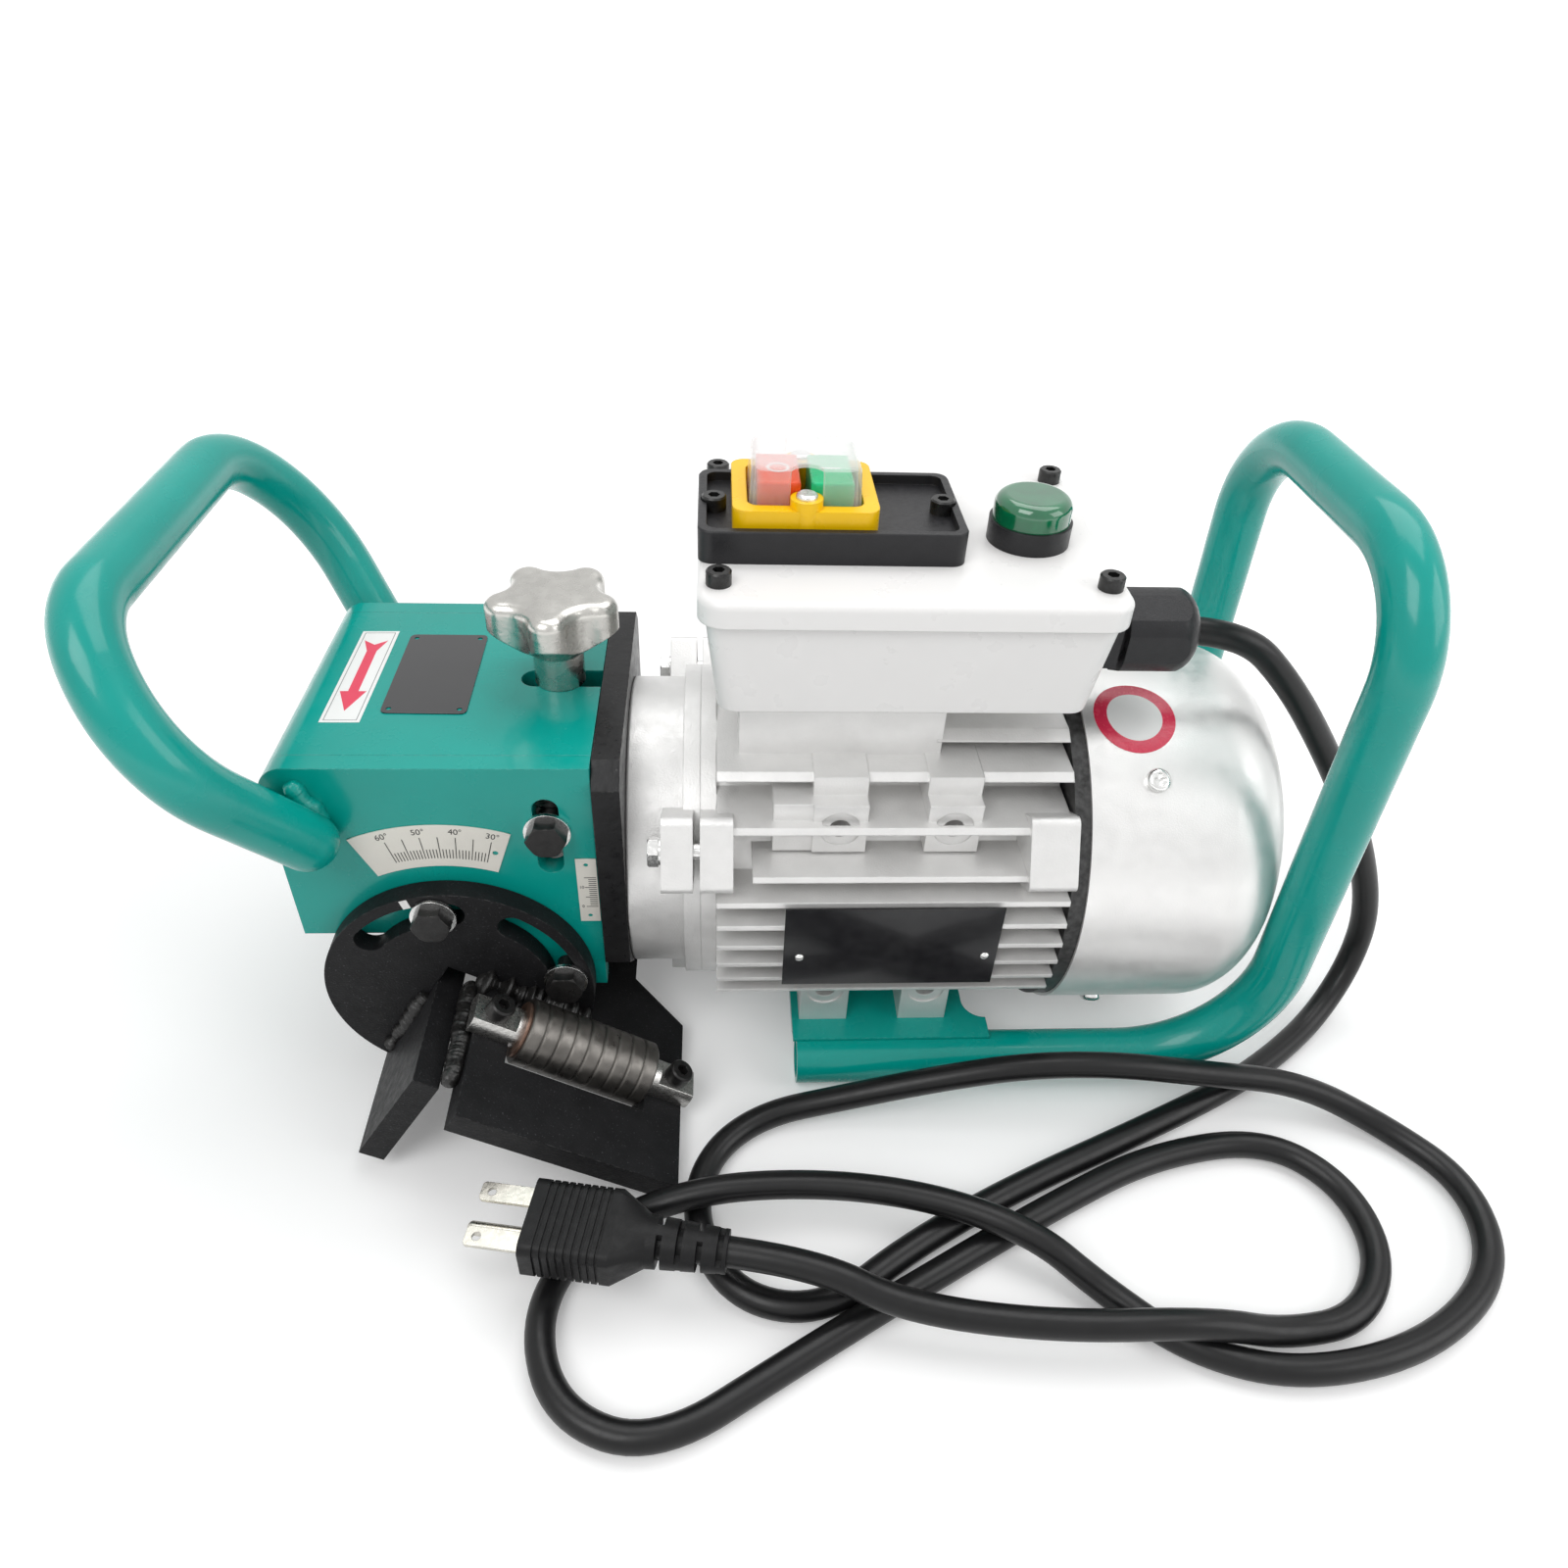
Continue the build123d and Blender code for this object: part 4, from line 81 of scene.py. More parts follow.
def make_camera():
    ahead = Vector((sin(CAMERA_YAW), cos(CAMERA_YAW), 0))
    right = Vector((cos(CAMERA_YAW), -sin(CAMERA_YAW), 0))
    forward = ahead * cos(CAMERA_PITCH) - AXIS_Z * sin(CAMERA_PITCH)
    above = AXIS_Z * cos(CAMERA_PITCH) + ahead * sin(CAMERA_PITCH)
    side = right * cos(CAMERA_ROLL) + above * sin(CAMERA_ROLL)
    above = above * cos(CAMERA_ROLL) - right * sin(CAMERA_ROLL)
    data = bpy.data.cameras.new("camera")
    data.sensor_width = CAMERA_SENSOR
    data.lens = CAMERA_LENS
    data.clip_start = CAMERA_NEAR
    data.clip_end = CAMERA_FAR
    camera = bpy.data.objects.new("camera", data)
    bpy.context.scene.collection.objects.link(camera)
    turn = Matrix((side, above, -forward)).transposed().to_4x4()
    camera.matrix_world = Matrix.Translation((CAMERA_X, CAMERA_Y, CAMERA_Z)) @ turn
    bpy.context.scene.camera = camera


make_camera()


# Materials. Lengths in their settings are in metres. MID_NOISE and WEAR_NOISE are the parts of a
# noise's range that are drawn, FLAT_TURN and EDGE_TURN the cosines that count as flat and edge.
MID_NOISE = (0.3, 0.7)
BEVEL_SAMPLES = 4
FLAT_TURN, EDGE_TURN = 0.985, 0.8
SPECK_BLUR = 0.08
WEAR_SCALE, WEAR_NOISE = 450.0, (0.48, 0.62)
LEAST_ROUGH = 0.03
COAT_ROUGH = 0.08
BUMP_HEIGHT = 0.0003
PLASTIC_IOR = 1.45
HAZE = 0.06
FRAME_SCREW_NEAR = 0.006
# Blur of the edge of the rear shield's painted shade, as a share of the cowl's radius
PAINTED_SHADE_BLUR = 0.0015


def node_tree(name):
    mat = bpy.data.materials.new(name)
    mat.use_nodes = True
    nodes = mat.node_tree.nodes
    shader = nodes["Principled BSDF"]
    return mat, nodes, mat.node_tree.links, shader


def noise_node(nodes, links, coords, scale, detail=3.0, stretch=None):
    tex = nodes.new("ShaderNodeTexNoise")
    tex.inputs["Scale"].default_value = scale
    tex.inputs["Detail"].default_value = detail
    if stretch:
        mapping = nodes.new("ShaderNodeMapping")
        mapping.inputs["Scale"].default_value = stretch
        links.new(coords, mapping.inputs["Vector"])
        coords = mapping.outputs["Vector"]
    links.new(coords, tex.inputs["Vector"])
    return tex.outputs["Fac"]


def ramp_node(nodes, links, value, low, high, out_low=0.0, out_high=1.0):
    ramp = nodes.new("ShaderNodeMapRange")
    ramp.inputs["From Min"].default_value = low
    ramp.inputs["From Max"].default_value = high
    ramp.inputs["To Min"].default_value = out_low
    ramp.inputs["To Max"].default_value = out_high
    links.new(value, ramp.inputs["Value"])
    return ramp.outputs["Result"]


def cloud_node(nodes, links, coords, scale, detail=3.0, stretch=None):
    """Soft patches from 0 to 1."""
    tex = noise_node(nodes, links, coords, scale, detail, stretch)
    return ramp_node(nodes, links, tex, *MID_NOISE)


def mix_node(nodes, links, factor, first, second):
    mix = nodes.new("ShaderNodeMix")
    mix.data_type = "RGBA"
    weight, low, high = [socket for socket in mix.inputs if socket.enabled][:3]
    links.new(factor, weight)
    for socket, colour in ((low, first), (high, second)):
        if isinstance(colour, tuple):
            socket.default_value = (*colour, 1.0)
        else:
            links.new(colour, socket)
    return next(socket for socket in mix.outputs if socket.enabled)


def math_node(nodes, links, operation, first, second):
    node = nodes.new("ShaderNodeMath")
    node.operation = operation
    links.new(first, node.inputs[0])
    links.new(second, node.inputs[1])
    return node.outputs["Value"]


def soft_normal(nodes, radius):
    """Normal that rounds the edges by a radius in metres."""
    bevel = nodes.new("ShaderNodeBevel")
    bevel.samples = BEVEL_SAMPLES
    bevel.inputs["Radius"].default_value = radius
    return bevel.outputs["Normal"]


def edge_mask(nodes, links, radius):
    """How near a point is to an edge, from 0 to 1."""
    geometry = nodes.new("ShaderNodeNewGeometry")
    dot = nodes.new("ShaderNodeVectorMath")
    dot.operation = "DOT_PRODUCT"
    links.new(soft_normal(nodes, radius), dot.inputs[0])
    links.new(geometry.outputs["Normal"], dot.inputs[1])
    return ramp_node(nodes, links, dot.outputs["Value"], FLAT_TURN, EDGE_TURN)


def surface(
    name,
    colour,
    rough=0.4,
    metal=0.0,
    coat=0.0,
    shade=0.85,
    shade_scale=60.0,
    speck=None,
    speck_scale=900.0,
    speck_from=0.62,
    grain=0.0,
    grain_scale=900.0,
    stretch=None,
    wear=None,
    wear_size=0.0006,
    soften=0.0004,
    rough_range=0.08,
    specular=0.5,
):
    """Procedural finish: uneven colour and roughness, specks, grain and worn edges."""
    mat, nodes, links, shader = node_tree(name)
    coords = nodes.new("ShaderNodeTexCoord").outputs["Object"]
    clouds = cloud_node(nodes, links, coords, shade_scale, 4.0, stretch)
    darker = tuple(value * shade for value in colour)
    result = mix_node(nodes, links, clouds, darker, colour)
    if speck:
        dots = noise_node(nodes, links, coords, speck_scale, 2.0)
        amount = ramp_node(nodes, links, dots, speck_from, speck_from + SPECK_BLUR)
        result = mix_node(nodes, links, amount, result, speck)
    if wear:
        near = edge_mask(nodes, links, wear_size)
        breakup = noise_node(nodes, links, coords, WEAR_SCALE, 4.0)
        patches = ramp_node(nodes, links, breakup, *WEAR_NOISE)
        worn = math_node(nodes, links, "MULTIPLY", near, patches)
        result = mix_node(nodes, links, worn, result, wear)
    links.new(result, shader.inputs["Base Color"])
    dull = noise_node(nodes, links, coords, shade_scale * 3, 4.0, stretch)
    least = max(rough - rough_range, LEAST_ROUGH)
    dull = ramp_node(nodes, links, dull, *MID_NOISE, least, rough + rough_range)
    links.new(dull, shader.inputs["Roughness"])
    shader.inputs["Metallic"].default_value = metal
    shader.inputs["Coat Weight"].default_value = coat
    shader.inputs["Coat Roughness"].default_value = COAT_ROUGH
    shader.inputs["Specular IOR Level"].default_value = specular
    normal = soft_normal(nodes, soften) if soften else None
    if grain:
        bump = nodes.new("ShaderNodeBump")
        bump.inputs["Strength"].default_value = grain
        bump.inputs["Distance"].default_value = BUMP_HEIGHT
        height = noise_node(nodes, links, coords, grain_scale, 3.0, stretch)
        links.new(height, bump.inputs["Height"])
        if normal:
            links.new(normal, bump.inputs["Normal"])
        normal = bump.outputs["Normal"]
    if normal:
        links.new(normal, shader.inputs["Normal"])
    return mat


def clear_plastic(name, colour, rough, clouding, slant_clouding):
    """See-through moulding: gloss, a slight haze, and more of it where it is seen at a slant."""
    mat, nodes, links, shader = node_tree(name)
    coords = nodes.new("ShaderNodeTexCoord").outputs["Object"]
    haze = noise_node(nodes, links, coords, 120.0, 4.0)
    shader.inputs["Base Color"].default_value = (*colour, 1.0)
    dull = ramp_node(nodes, links, haze, *MID_NOISE, rough, rough + HAZE)
    links.new(dull, shader.inputs["Roughness"])
    shader.inputs["IOR"].default_value = PLASTIC_IOR
    weight = nodes.new("ShaderNodeLayerWeight")
    weight.inputs["Blend"].default_value = 0.45
    facing_out = weight.outputs["Facing"]
    slant = ramp_node(nodes, links, facing_out, 0.05, 0.95, clouding, slant_clouding)
    patches = ramp_node(nodes, links, haze, 0.3, 0.75, 0.0, HAZE)
    links.new(math_node(nodes, links, "ADD", slant, patches), shader.inputs["Alpha"])
    return mat


def screw_finish():
    """Blackened screws, and bright ones where the switch frame's two screws are."""
    mat, nodes, links, shader = node_tree("screws_by_place")
    coords = nodes.new("ShaderNodeTexCoord").outputs["Object"]
    split = nodes.new("ShaderNodeSeparateXYZ")
    links.new(coords, split.inputs["Vector"])
    near = nodes.new("ShaderNodeMath")
    near.operation = "COMPARE"
    links.new(split.outputs["X"], near.inputs[0])
    near.inputs[1].default_value = place(FRAME_SCREW_X, 0, 0).x
    near.inputs[2].default_value = FRAME_SCREW_NEAR
    bright = near.outputs["Value"]
    clouds = cloud_node(nodes, links, coords, 400.0)
    dark = mix_node(nodes, links, clouds, (0.012, 0.012, 0.012), (0.03, 0.03, 0.03))
    light = mix_node(nodes, links, clouds, (0.6, 0.6, 0.6), (0.8, 0.8, 0.8))
    metal = ramp_node(nodes, links, bright, 0.0, 1.0, 0.35, 0.95)
    dull = ramp_node(nodes, links, clouds, 0.0, 1.0, 0.24, 0.36)
    links.new(mix_node(nodes, links, bright, dark, light), shader.inputs["Base Color"])
    links.new(metal, shader.inputs["Metallic"])
    links.new(dull, shader.inputs["Roughness"])
    return mat


def shield_finish():
    """Silver paint on the lugs, and painted shade further in: near black for the shadowed gap
    between frame and cowl.
    """
    mat, nodes, links, shader = node_tree("rear_shield_silver_and_painted_shade")
    coords = nodes.new("ShaderNodeTexCoord").outputs["Object"]
    flat = nodes.new("ShaderNodeVectorMath")
    flat.operation = "MULTIPLY_ADD"
    links.new(coords, flat.inputs[0])
    flat.inputs[1].default_value = (0.0, 1.0, 1.0)
    flat.inputs[2].default_value = (0.0, 0.0, FLOOR_Z * MM)
    away = nodes.new("ShaderNodeVectorMath")
    away.operation = "LENGTH"
    links.new(flat.outputs["Vector"], away.inputs[0])
    low, high = [COWL_R * MM * (1 + blur) for blur in (-PAINTED_SHADE_BLUR, PAINTED_SHADE_BLUR)]
    outer = ramp_node(nodes, links, away.outputs["Value"], low, high)
    clouds = cloud_node(nodes, links, coords, 400.0)
    # The dark colours are painted shade for the gap between frame and cowl, not a colour of the
    # shield
    dark = mix_node(nodes, links, clouds, (0.02, 0.02, 0.02), (0.07, 0.07, 0.07))
    light = mix_node(nodes, links, clouds, (0.77, 0.765, 0.755), (0.84, 0.835, 0.82))
    dull = ramp_node(nodes, links, clouds, 0.0, 1.0, 0.36, 0.46)
    links.new(mix_node(nodes, links, outer, dark, light), shader.inputs["Base Color"])
    links.new(dull, shader.inputs["Roughness"])
    shader.inputs["Metallic"].default_value = 0.4
    return mat


TEAL = surface(
    "teal_gloss_paint", (0.0, 0.345, 0.295), rough=0.24, coat=0.2, shade=0.9, shade_scale=25,
    grain=0.12, grain_scale=260, soften=0.0008, wear=(0.05, 0.45, 0.4), wear_size=0.0007,
    specular=0.3,
)
BLACK_PAINT = surface(
    "black_speckled_paint", (0.012, 0.012, 0.013), rough=0.5, shade=0.6, shade_scale=90,
    speck=(0.055, 0.055, 0.06), speck_scale=1400, speck_from=0.66, grain=0.5, grain_scale=1200,
    wear=(0.09, 0.09, 0.09), soften=0.0007, specular=0.16,
)
PLATE_PAINT = surface(
    "black_satin_paint", (0.016, 0.016, 0.017), rough=0.33, shade=0.6, shade_scale=120,
    grain=0.35, grain_scale=400, speck=(0.05, 0.05, 0.05), speck_scale=600, speck_from=0.7,
    wear=(0.16, 0.15, 0.14), soften=0.0008, specular=0.22,
)
SILVER = surface(
    "silver_cast_paint", (0.8, 0.795, 0.785), rough=0.4, metal=0.4, shade=0.92, shade_scale=80,
    grain=0.4, grain_scale=1400, soften=0.0007,
)
COWL = surface(
    "silver_cowl_paint", (0.82, 0.815, 0.805), rough=0.36, metal=0.55, shade=0.94,
    shade_scale=50, grain=0.22, grain_scale=1700, soften=0.0,
)
BLACK_OXIDE = surface(
    "black_oxide_steel", (0.022, 0.021, 0.021), rough=0.34, metal=0.35, shade=0.5,
    shade_scale=300, wear=(0.12, 0.115, 0.11), wear_size=0.0004, soften=0.0003, grain=0.2,
    grain_scale=900, specular=0.4,
)
ZINC = surface(
    "bright_zinc", (0.78, 0.78, 0.77), rough=0.22, metal=1.0, shade=0.85, shade_scale=200,
    grain=0.1, grain_scale=700, soften=0.0003,
)
STEEL = surface(
    "ground_steel", (0.6, 0.59, 0.57), rough=0.3, metal=1.0, shade=0.7, shade_scale=160,
    grain=0.25, grain_scale=500, stretch=(1.0, 6.0, 6.0), soften=0.0004,
)
BEARING = surface(
    "oiled_bearing_steel", (0.17, 0.16, 0.148), rough=0.34, metal=0.9, shade=0.6,
    shade_scale=120, grain=0.1, grain_scale=400, soften=0.0012,
)
COPPER = surface(
    "copper_washer", (0.26, 0.16, 0.12), rough=0.4, metal=0.8, shade=0.6, shade_scale=300,
    soften=0.0,
)
WINDING = surface(
    "enamelled_copper", (0.35, 0.12, 0.04), rough=0.35, metal=0.6, shade=0.6, shade_scale=500,
    soften=0.0,
)
RUBBER = surface(
    "black_rubber", (0.01, 0.01, 0.0105), rough=0.45, shade=0.7, shade_scale=120, grain=0.2,
    grain_scale=1500, soften=0.0003, specular=0.2,
)
CORD_SHEATH = surface(
    "cord_sheath", (0.009, 0.009, 0.0095), rough=0.33, shade=0.75, shade_scale=90, grain=0.1,
    grain_scale=700, soften=0.0, rough_range=0.05, specular=0.3,
)
WHITE_COAT = surface(
    "white_powder_coat", (0.9, 0.892, 0.882), rough=0.3, shade=0.985, shade_scale=30,
    soften=0.0009, rough_range=0.04,
)
BLACK_PLASTIC = surface(
    "black_moulded_plastic", (0.018, 0.018, 0.02), rough=0.36, shade=0.8, shade_scale=200,
    grain=0.3, grain_scale=1800, soften=0.0005, specular=0.3,
)
YELLOW = surface(
    "yellow_plastic", (1.0, 0.6, 0.0), rough=0.3, shade=0.97, shade_scale=60, coat=0.1,
    soften=0.0008, rough_range=0.04, specular=0.35,
)
RED = surface(
    "red_orange_plastic", (0.9, 0.09, 0.015), rough=0.3, shade=0.95, shade_scale=60,
    soften=0.0008, rough_range=0.04,
)
GREEN = surface(
    "green_plastic", (0.0, 0.58, 0.24), rough=0.3, shade=0.95, shade_scale=60, soften=0.0008,
    rough_range=0.04,
)
LENS = surface(
    "green_lens", (0.0, 0.17, 0.065), rough=0.12, shade=0.6, shade_scale=120, coat=0.9,
    soften=0.0005, rough_range=0.03,
)
NAMEPLATE = surface(
    "black_nameplate", (0.012, 0.012, 0.014), rough=0.2, coat=0.5, shade=0.8, soften=0.0,
    rough_range=0.04,
)
BLADES = surface(
    "nickel_blades", (0.62, 0.6, 0.54), rough=0.28, metal=1.0, shade=0.8, shade_scale=250,
    grain=0.1, grain_scale=500, soften=0.0003,
)
KNOB = surface(
    "satin_nickel", (0.56, 0.55, 0.52), rough=0.27, metal=1.0, shade=0.8, shade_scale=70,
    grain=0.35, grain_scale=350, soften=0.0009,
)
CARBIDE = surface(
    "coated_carbide", (0.55, 0.38, 0.12), rough=0.3, metal=0.9, shade=0.8, shade_scale=400,
    soften=0.0002,
)
FAN = surface("grey_fan_plastic", (0.06, 0.06, 0.06), rough=0.5, shade=0.8, soften=0.0)
CREAM = surface(
    "cream_scale_plate", (0.78, 0.755, 0.69), rough=0.4, shade=0.93, shade_scale=60, soften=0.0,
)
WHITE_LABEL = surface("white_label", (0.88, 0.88, 0.87), rough=0.35, shade=0.97, soften=0.0)
RED_PRINT = surface("red_print", (0.8, 0.06, 0.12), rough=0.4, shade=0.9, soften=0.0)
BLACK_PRINT = surface("black_print", (0.02, 0.02, 0.02), rough=0.45, shade=0.9, soften=0.0)
GREY_PRINT = surface("grey_print", (0.3, 0.3, 0.3), rough=0.45, shade=0.9, soften=0.0)
WELD = surface(
    "painted_weld", (0.014, 0.0135, 0.013), rough=0.34, shade=0.6, shade_scale=400, grain=0.7,
    grain_scale=700, soften=0.0, speck=(0.05, 0.05, 0.05), speck_scale=900, speck_from=0.62,
    specular=0.4,
)
WHITE_PAINT = surface(
    "white_mark_paint", (0.85, 0.85, 0.84), rough=0.4, shade=0.9, shade_scale=500, soften=0.0,
)
STICKER_RED = surface(
    "sticker_red", (0.72, 0.035, 0.09), rough=0.25, shade=0.92, shade_scale=200, soften=0.0,
)
CLEAR = clear_plastic(
    "clear_cap_plastic", (0.86, 0.86, 0.86), rough=0.06, clouding=0.1, slant_clouding=0.6,
)
SCREWS = screw_finish()
REAR_SHIELD_SILVER_AND_SHADE = shield_finish()

FINISHES = {
    TEAL: "handle_bracket rear_handle front_handle cover_plate side_plate_front side_plate_rear",
    BLACK_PAINT: "angle_disc_front angle_disc_rear fence_plate support_plate",
    PLATE_PAINT: "motor_plate",
    SILVER: "front_end_shield stator_frame",
    # Rear end shield: silver lugs, with painted shade inside the cowl's radius
    REAR_SHIELD_SILVER_AND_SHADE: "rear_end_shield",
    COWL: "fan_cowl",
    BLACK_OXIDE: "plate_bolts bracket_bolts clamp_bolts disc_bolts pin_screws cutter_screw",
    ZINC: "cowl_screws clamp_washers disc_washers end_shield_bolts",
    BLADES: "plug_prongs",
    STEEL: "guide_cheeks lift_nut motor_bearings rotor_shaft rotor cutter_holder "
    "milling_cutter depth_screw roller_pins",
    BEARING: "roller_front roller_rear",
    COPPER: "pin_washers",
    WINDING: "stator_core",
    RUBBER: "shaft_seal box_gasket plug_body",
    WHITE_COAT: "control_box box_lid",
    BLACK_PLASTIC: "switch_base switch_block lamp_ring gland_body gland_nut",
    YELLOW: "switch_frame",
    RED: "stop_button",
    GREEN: "start_button",
    LENS: "lamp_lens",
    NAMEPLATE: "motor_nameplate",
    KNOB: "star_knob",
    CARBIDE: "cutter_inserts",
    FAN: "cooling_fan",
    CLEAR: "switch_cap",
    CORD_SHEATH: "power_cord",
    SCREWS: "box_screws",
}
for finish, names in FINISHES.items():
    for node in names.split():
        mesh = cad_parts[node].data
        mesh.materials.clear()
        mesh.materials.append(finish)


# Helpers for pieces. A plate, paper or print has a thickness, and a height of its middle over
# the face that it lies on.
PLATE_T, PLATE_LIFT = 0.5, 0.25
PAPER_T, PAPER_LIFT = 0.2, 0.1
PLATE_PRINT_T, PLATE_PRINT_LIFT = 0.08, 0.52
PAPER_PRINT_T, PAPER_PRINT_LIFT = 0.06, 0.22
HOLE_SIDES = 16


def add_piece(name, mesh, body, mat):
    obj = bpy.data.objects.new(name, mesh)
    bpy.context.scene.collection.objects.link(obj)
    mesh.materials.clear()
    mesh.materials.append(mat)
    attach(obj, body)


def flat_mesh(outlines, thickness, turn):
    """Thin plate from closed outlines in millimetres: an outline inside another is a hole."""
    data = bpy.data.curves.new("outline", "CURVE")
    data.dimensions = "2D"
    data.fill_mode = "BOTH"
    data.extrude = thickness / 2 * MM
    for points in outlines:
        spline = data.splines.new("POLY")
        spline.points.add(len(points) - 1)
        for point, (x, y) in zip(spline.points, points):
            point.co = (x * MM, y * MM, 0, 1)
        spline.use_cyclic_u = True
    return baked(data, turn)


def text_mesh(words, size, thickness, turn):
    data = bpy.data.curves.new("words", "FONT")
    data.body = words
    data.size = size * MM
    data.align_x = "CENTER"
    data.align_y = "CENTER"
    data.extrude = thickness / 2 * MM
    return baked(data, turn)


def baked(data, turn):
    """Mesh of a curve or text, set in its place, with its doubled points joined."""
    holder = bpy.data.objects.new("holder", data)
    mesh = bpy.data.meshes.new_from_object(holder)
    bpy.data.objects.remove(holder)
    shape = bmesh.new()
    shape.from_mesh(mesh)
    bmesh.ops.remove_doubles(shape, verts=shape.verts, dist=SAME_POINT)
    shape.to_mesh(mesh)
    shape.free()
    mesh.transform(turn)
    return mesh


def finished(shape, name):
    mesh = bpy.data.meshes.new(name)
    shape.to_mesh(mesh)
    shape.free()
    return mesh


def joined(meshes):
    shape = bmesh.new()
    for mesh in meshes:
        shape.from_mesh(mesh)
    return finished(shape, "whole")


def skin(shape, first, second):
    """Faces between two rings of points, or between a ring and a single point."""
    for k in range(len(first)):
        after = (k + 1) % len(first)
        far = [second[after], second[k]] if len(second) > 1 else [second[0]]
        shape.faces.new([first[k], first[after]] + far)


def smooth(shape):
    for face in shape.faces:
        face.smooth = True


def facing(origin, across, up, out):
    """Matrix that lays a flat outline on a face: across and up are its axes, out its normal."""
    turn = Matrix((across, up, out)).transposed().to_4x4()
    return Matrix.Translation(origin) @ turn


def on_front(x, z, y=HOUSING_FRONT, lift=PLATE_LIFT):
    return facing(place(x, y - lift, z), AXIS_X, AXIS_Z, -AXIS_Y)


def on_top(x, y, lift=PLATE_LIFT):
    return facing(place(x, y, HOUSING_TOP + lift), AXIS_X, AXIS_Y, AXIS_Z)


def ring_points(radius, x=0.0, y=0.0, count=24):
    turns = [2 * pi * i / count for i in range(count)]
    return [(x + radius * cos(turn), y + radius * sin(turn)) for turn in turns]


def box_points(x0, x1, y0, y1):
    return [(x0, y0), (x1, y0), (x1, y1), (x0, y1)]


def polar(radius, angle):
    return radius * cos(radians(angle)), radius * sin(radians(angle))


# Cord. Each point of the route has its height as that of the cord's underside over the floor.
CORD_R = 5.25
CORD_EXIT = (198.5, -20, 106)
ROUTE = [
    (226, -20, 185.25), (251, -21, 163), (277, -23, 130), (302, -25, 93), (322, -27, 51),
    (323, -32, 21), (306, -48, 2.2), (281, -67, 0), (250, -86, 0), (203, -107, 0),
    (152, -128.5, 0), (106, -152, 0), (72.5, -176, 0), (40.5, -170, 0), (25, -141, 0),
    (30.5, -113, 0), (52, -95, 1), (86, -91, 6), (122, -91, 17), (158, -91, 25), (195, -91, 25),
    (234, -91, 18), (276, -91, 11), (309, -104, 0), (332, -132, 0), (324, -168, 0),
    (285, -194, 0), (235, -203, 0), (198, -193, 0), (172, -170, 0.5), (150, -155, 11.5),
    (116, -140, 12), (72, -132.5, 11.8), (24, -135, 12.3), (-15, -146, 0.3), (-29.5, -174, 0),
    (-19, -206, 0), (14, -218.5, 0), (58, -193.5, 0), (112, -164, 0), (165, -136.5, 0),
    (208, -117, 0), (256, -110, 0), (280.5, -130, 0), (283, -160, 0), (264, -184, 0),
    (234, -188.5, 0), (205, -189, 11.5), (150, -189, 11.8), (98, -181, 12.3),
]
CORD_END = [(68.6148, -169.17, -58.3), (38.04, -164.053, -58.3)]


def make_cord():
    data = bpy.data.curves.new("power_cord_line", "CURVE")
    data.dimensions = "3D"
    points = [CORD_EXIT]
    points += [(x, y, FLOOR_Z + CORD_R + rise) for x, y, rise in ROUTE]
    points += CORD_END
    spline = data.splines.new("NURBS")
    spline.points.add(len(points) - 1)
    for point, where in zip(spline.points, points):
        point.co = (*place(*where), 1)
    spline.order_u = 3
    spline.use_endpoint_u = True
    spline.resolution_u = 10
    data.bevel_depth = CORD_R * MM
    data.bevel_resolution = 7
    data.use_fill_caps = True
    cord = bpy.data.objects.new("supply_cord", data)
    bpy.context.scene.collection.objects.link(cord)
    data.materials.append(CORD_SHEATH)
    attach(cord, "motor_unit")
    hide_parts("power_cord")


make_cord()


# Angle scale: radii, and angles in degrees, about the pivot of the guide
ANGLE_PLATE_R = (59.5, 79.0)
ANGLE_PLATE_SPAN = (70.6, 114.0)
ANGLE_HOLE, ANGLE_HOLE_R = (68.5, 73.2), 1.1
ANGLE_TICK_R, ANGLE_SHORT_R, ANGLE_LONG_R = 63.3, 67.6, 73.4
ANGLE_TICK_W = 0.32
ANGLE_NUMBER_R, ANGLE_NUMBER_SIZE = 76.0, 3.6
ANGLE_FIRST, ANGLE_LAST, ANGLE_OF_ZERO = 30, 60, 45


def arc_outline(r0, r1, a0, a1, count=24):
    angles = [a0 + (a1 - a0) * i / count for i in range(count + 1)]
    return [polar(r1, a) for a in angles] + [polar(r0, a) for a in reversed(angles)]


def radial_tick(r0, r1, angle, width):
    """Narrow four-sided mark along a radius."""
    side_x, side_y = polar(width / 2, angle + 90)
    (x0, y0), (x1, y1) = polar(r0, angle), polar(r1, angle)
    return [
        (x0 + side_x, y0 + side_y), (x0 - side_x, y0 - side_y), (x1 - side_x, y1 - side_y),
        (x1 + side_x, y1 + side_y),
    ]


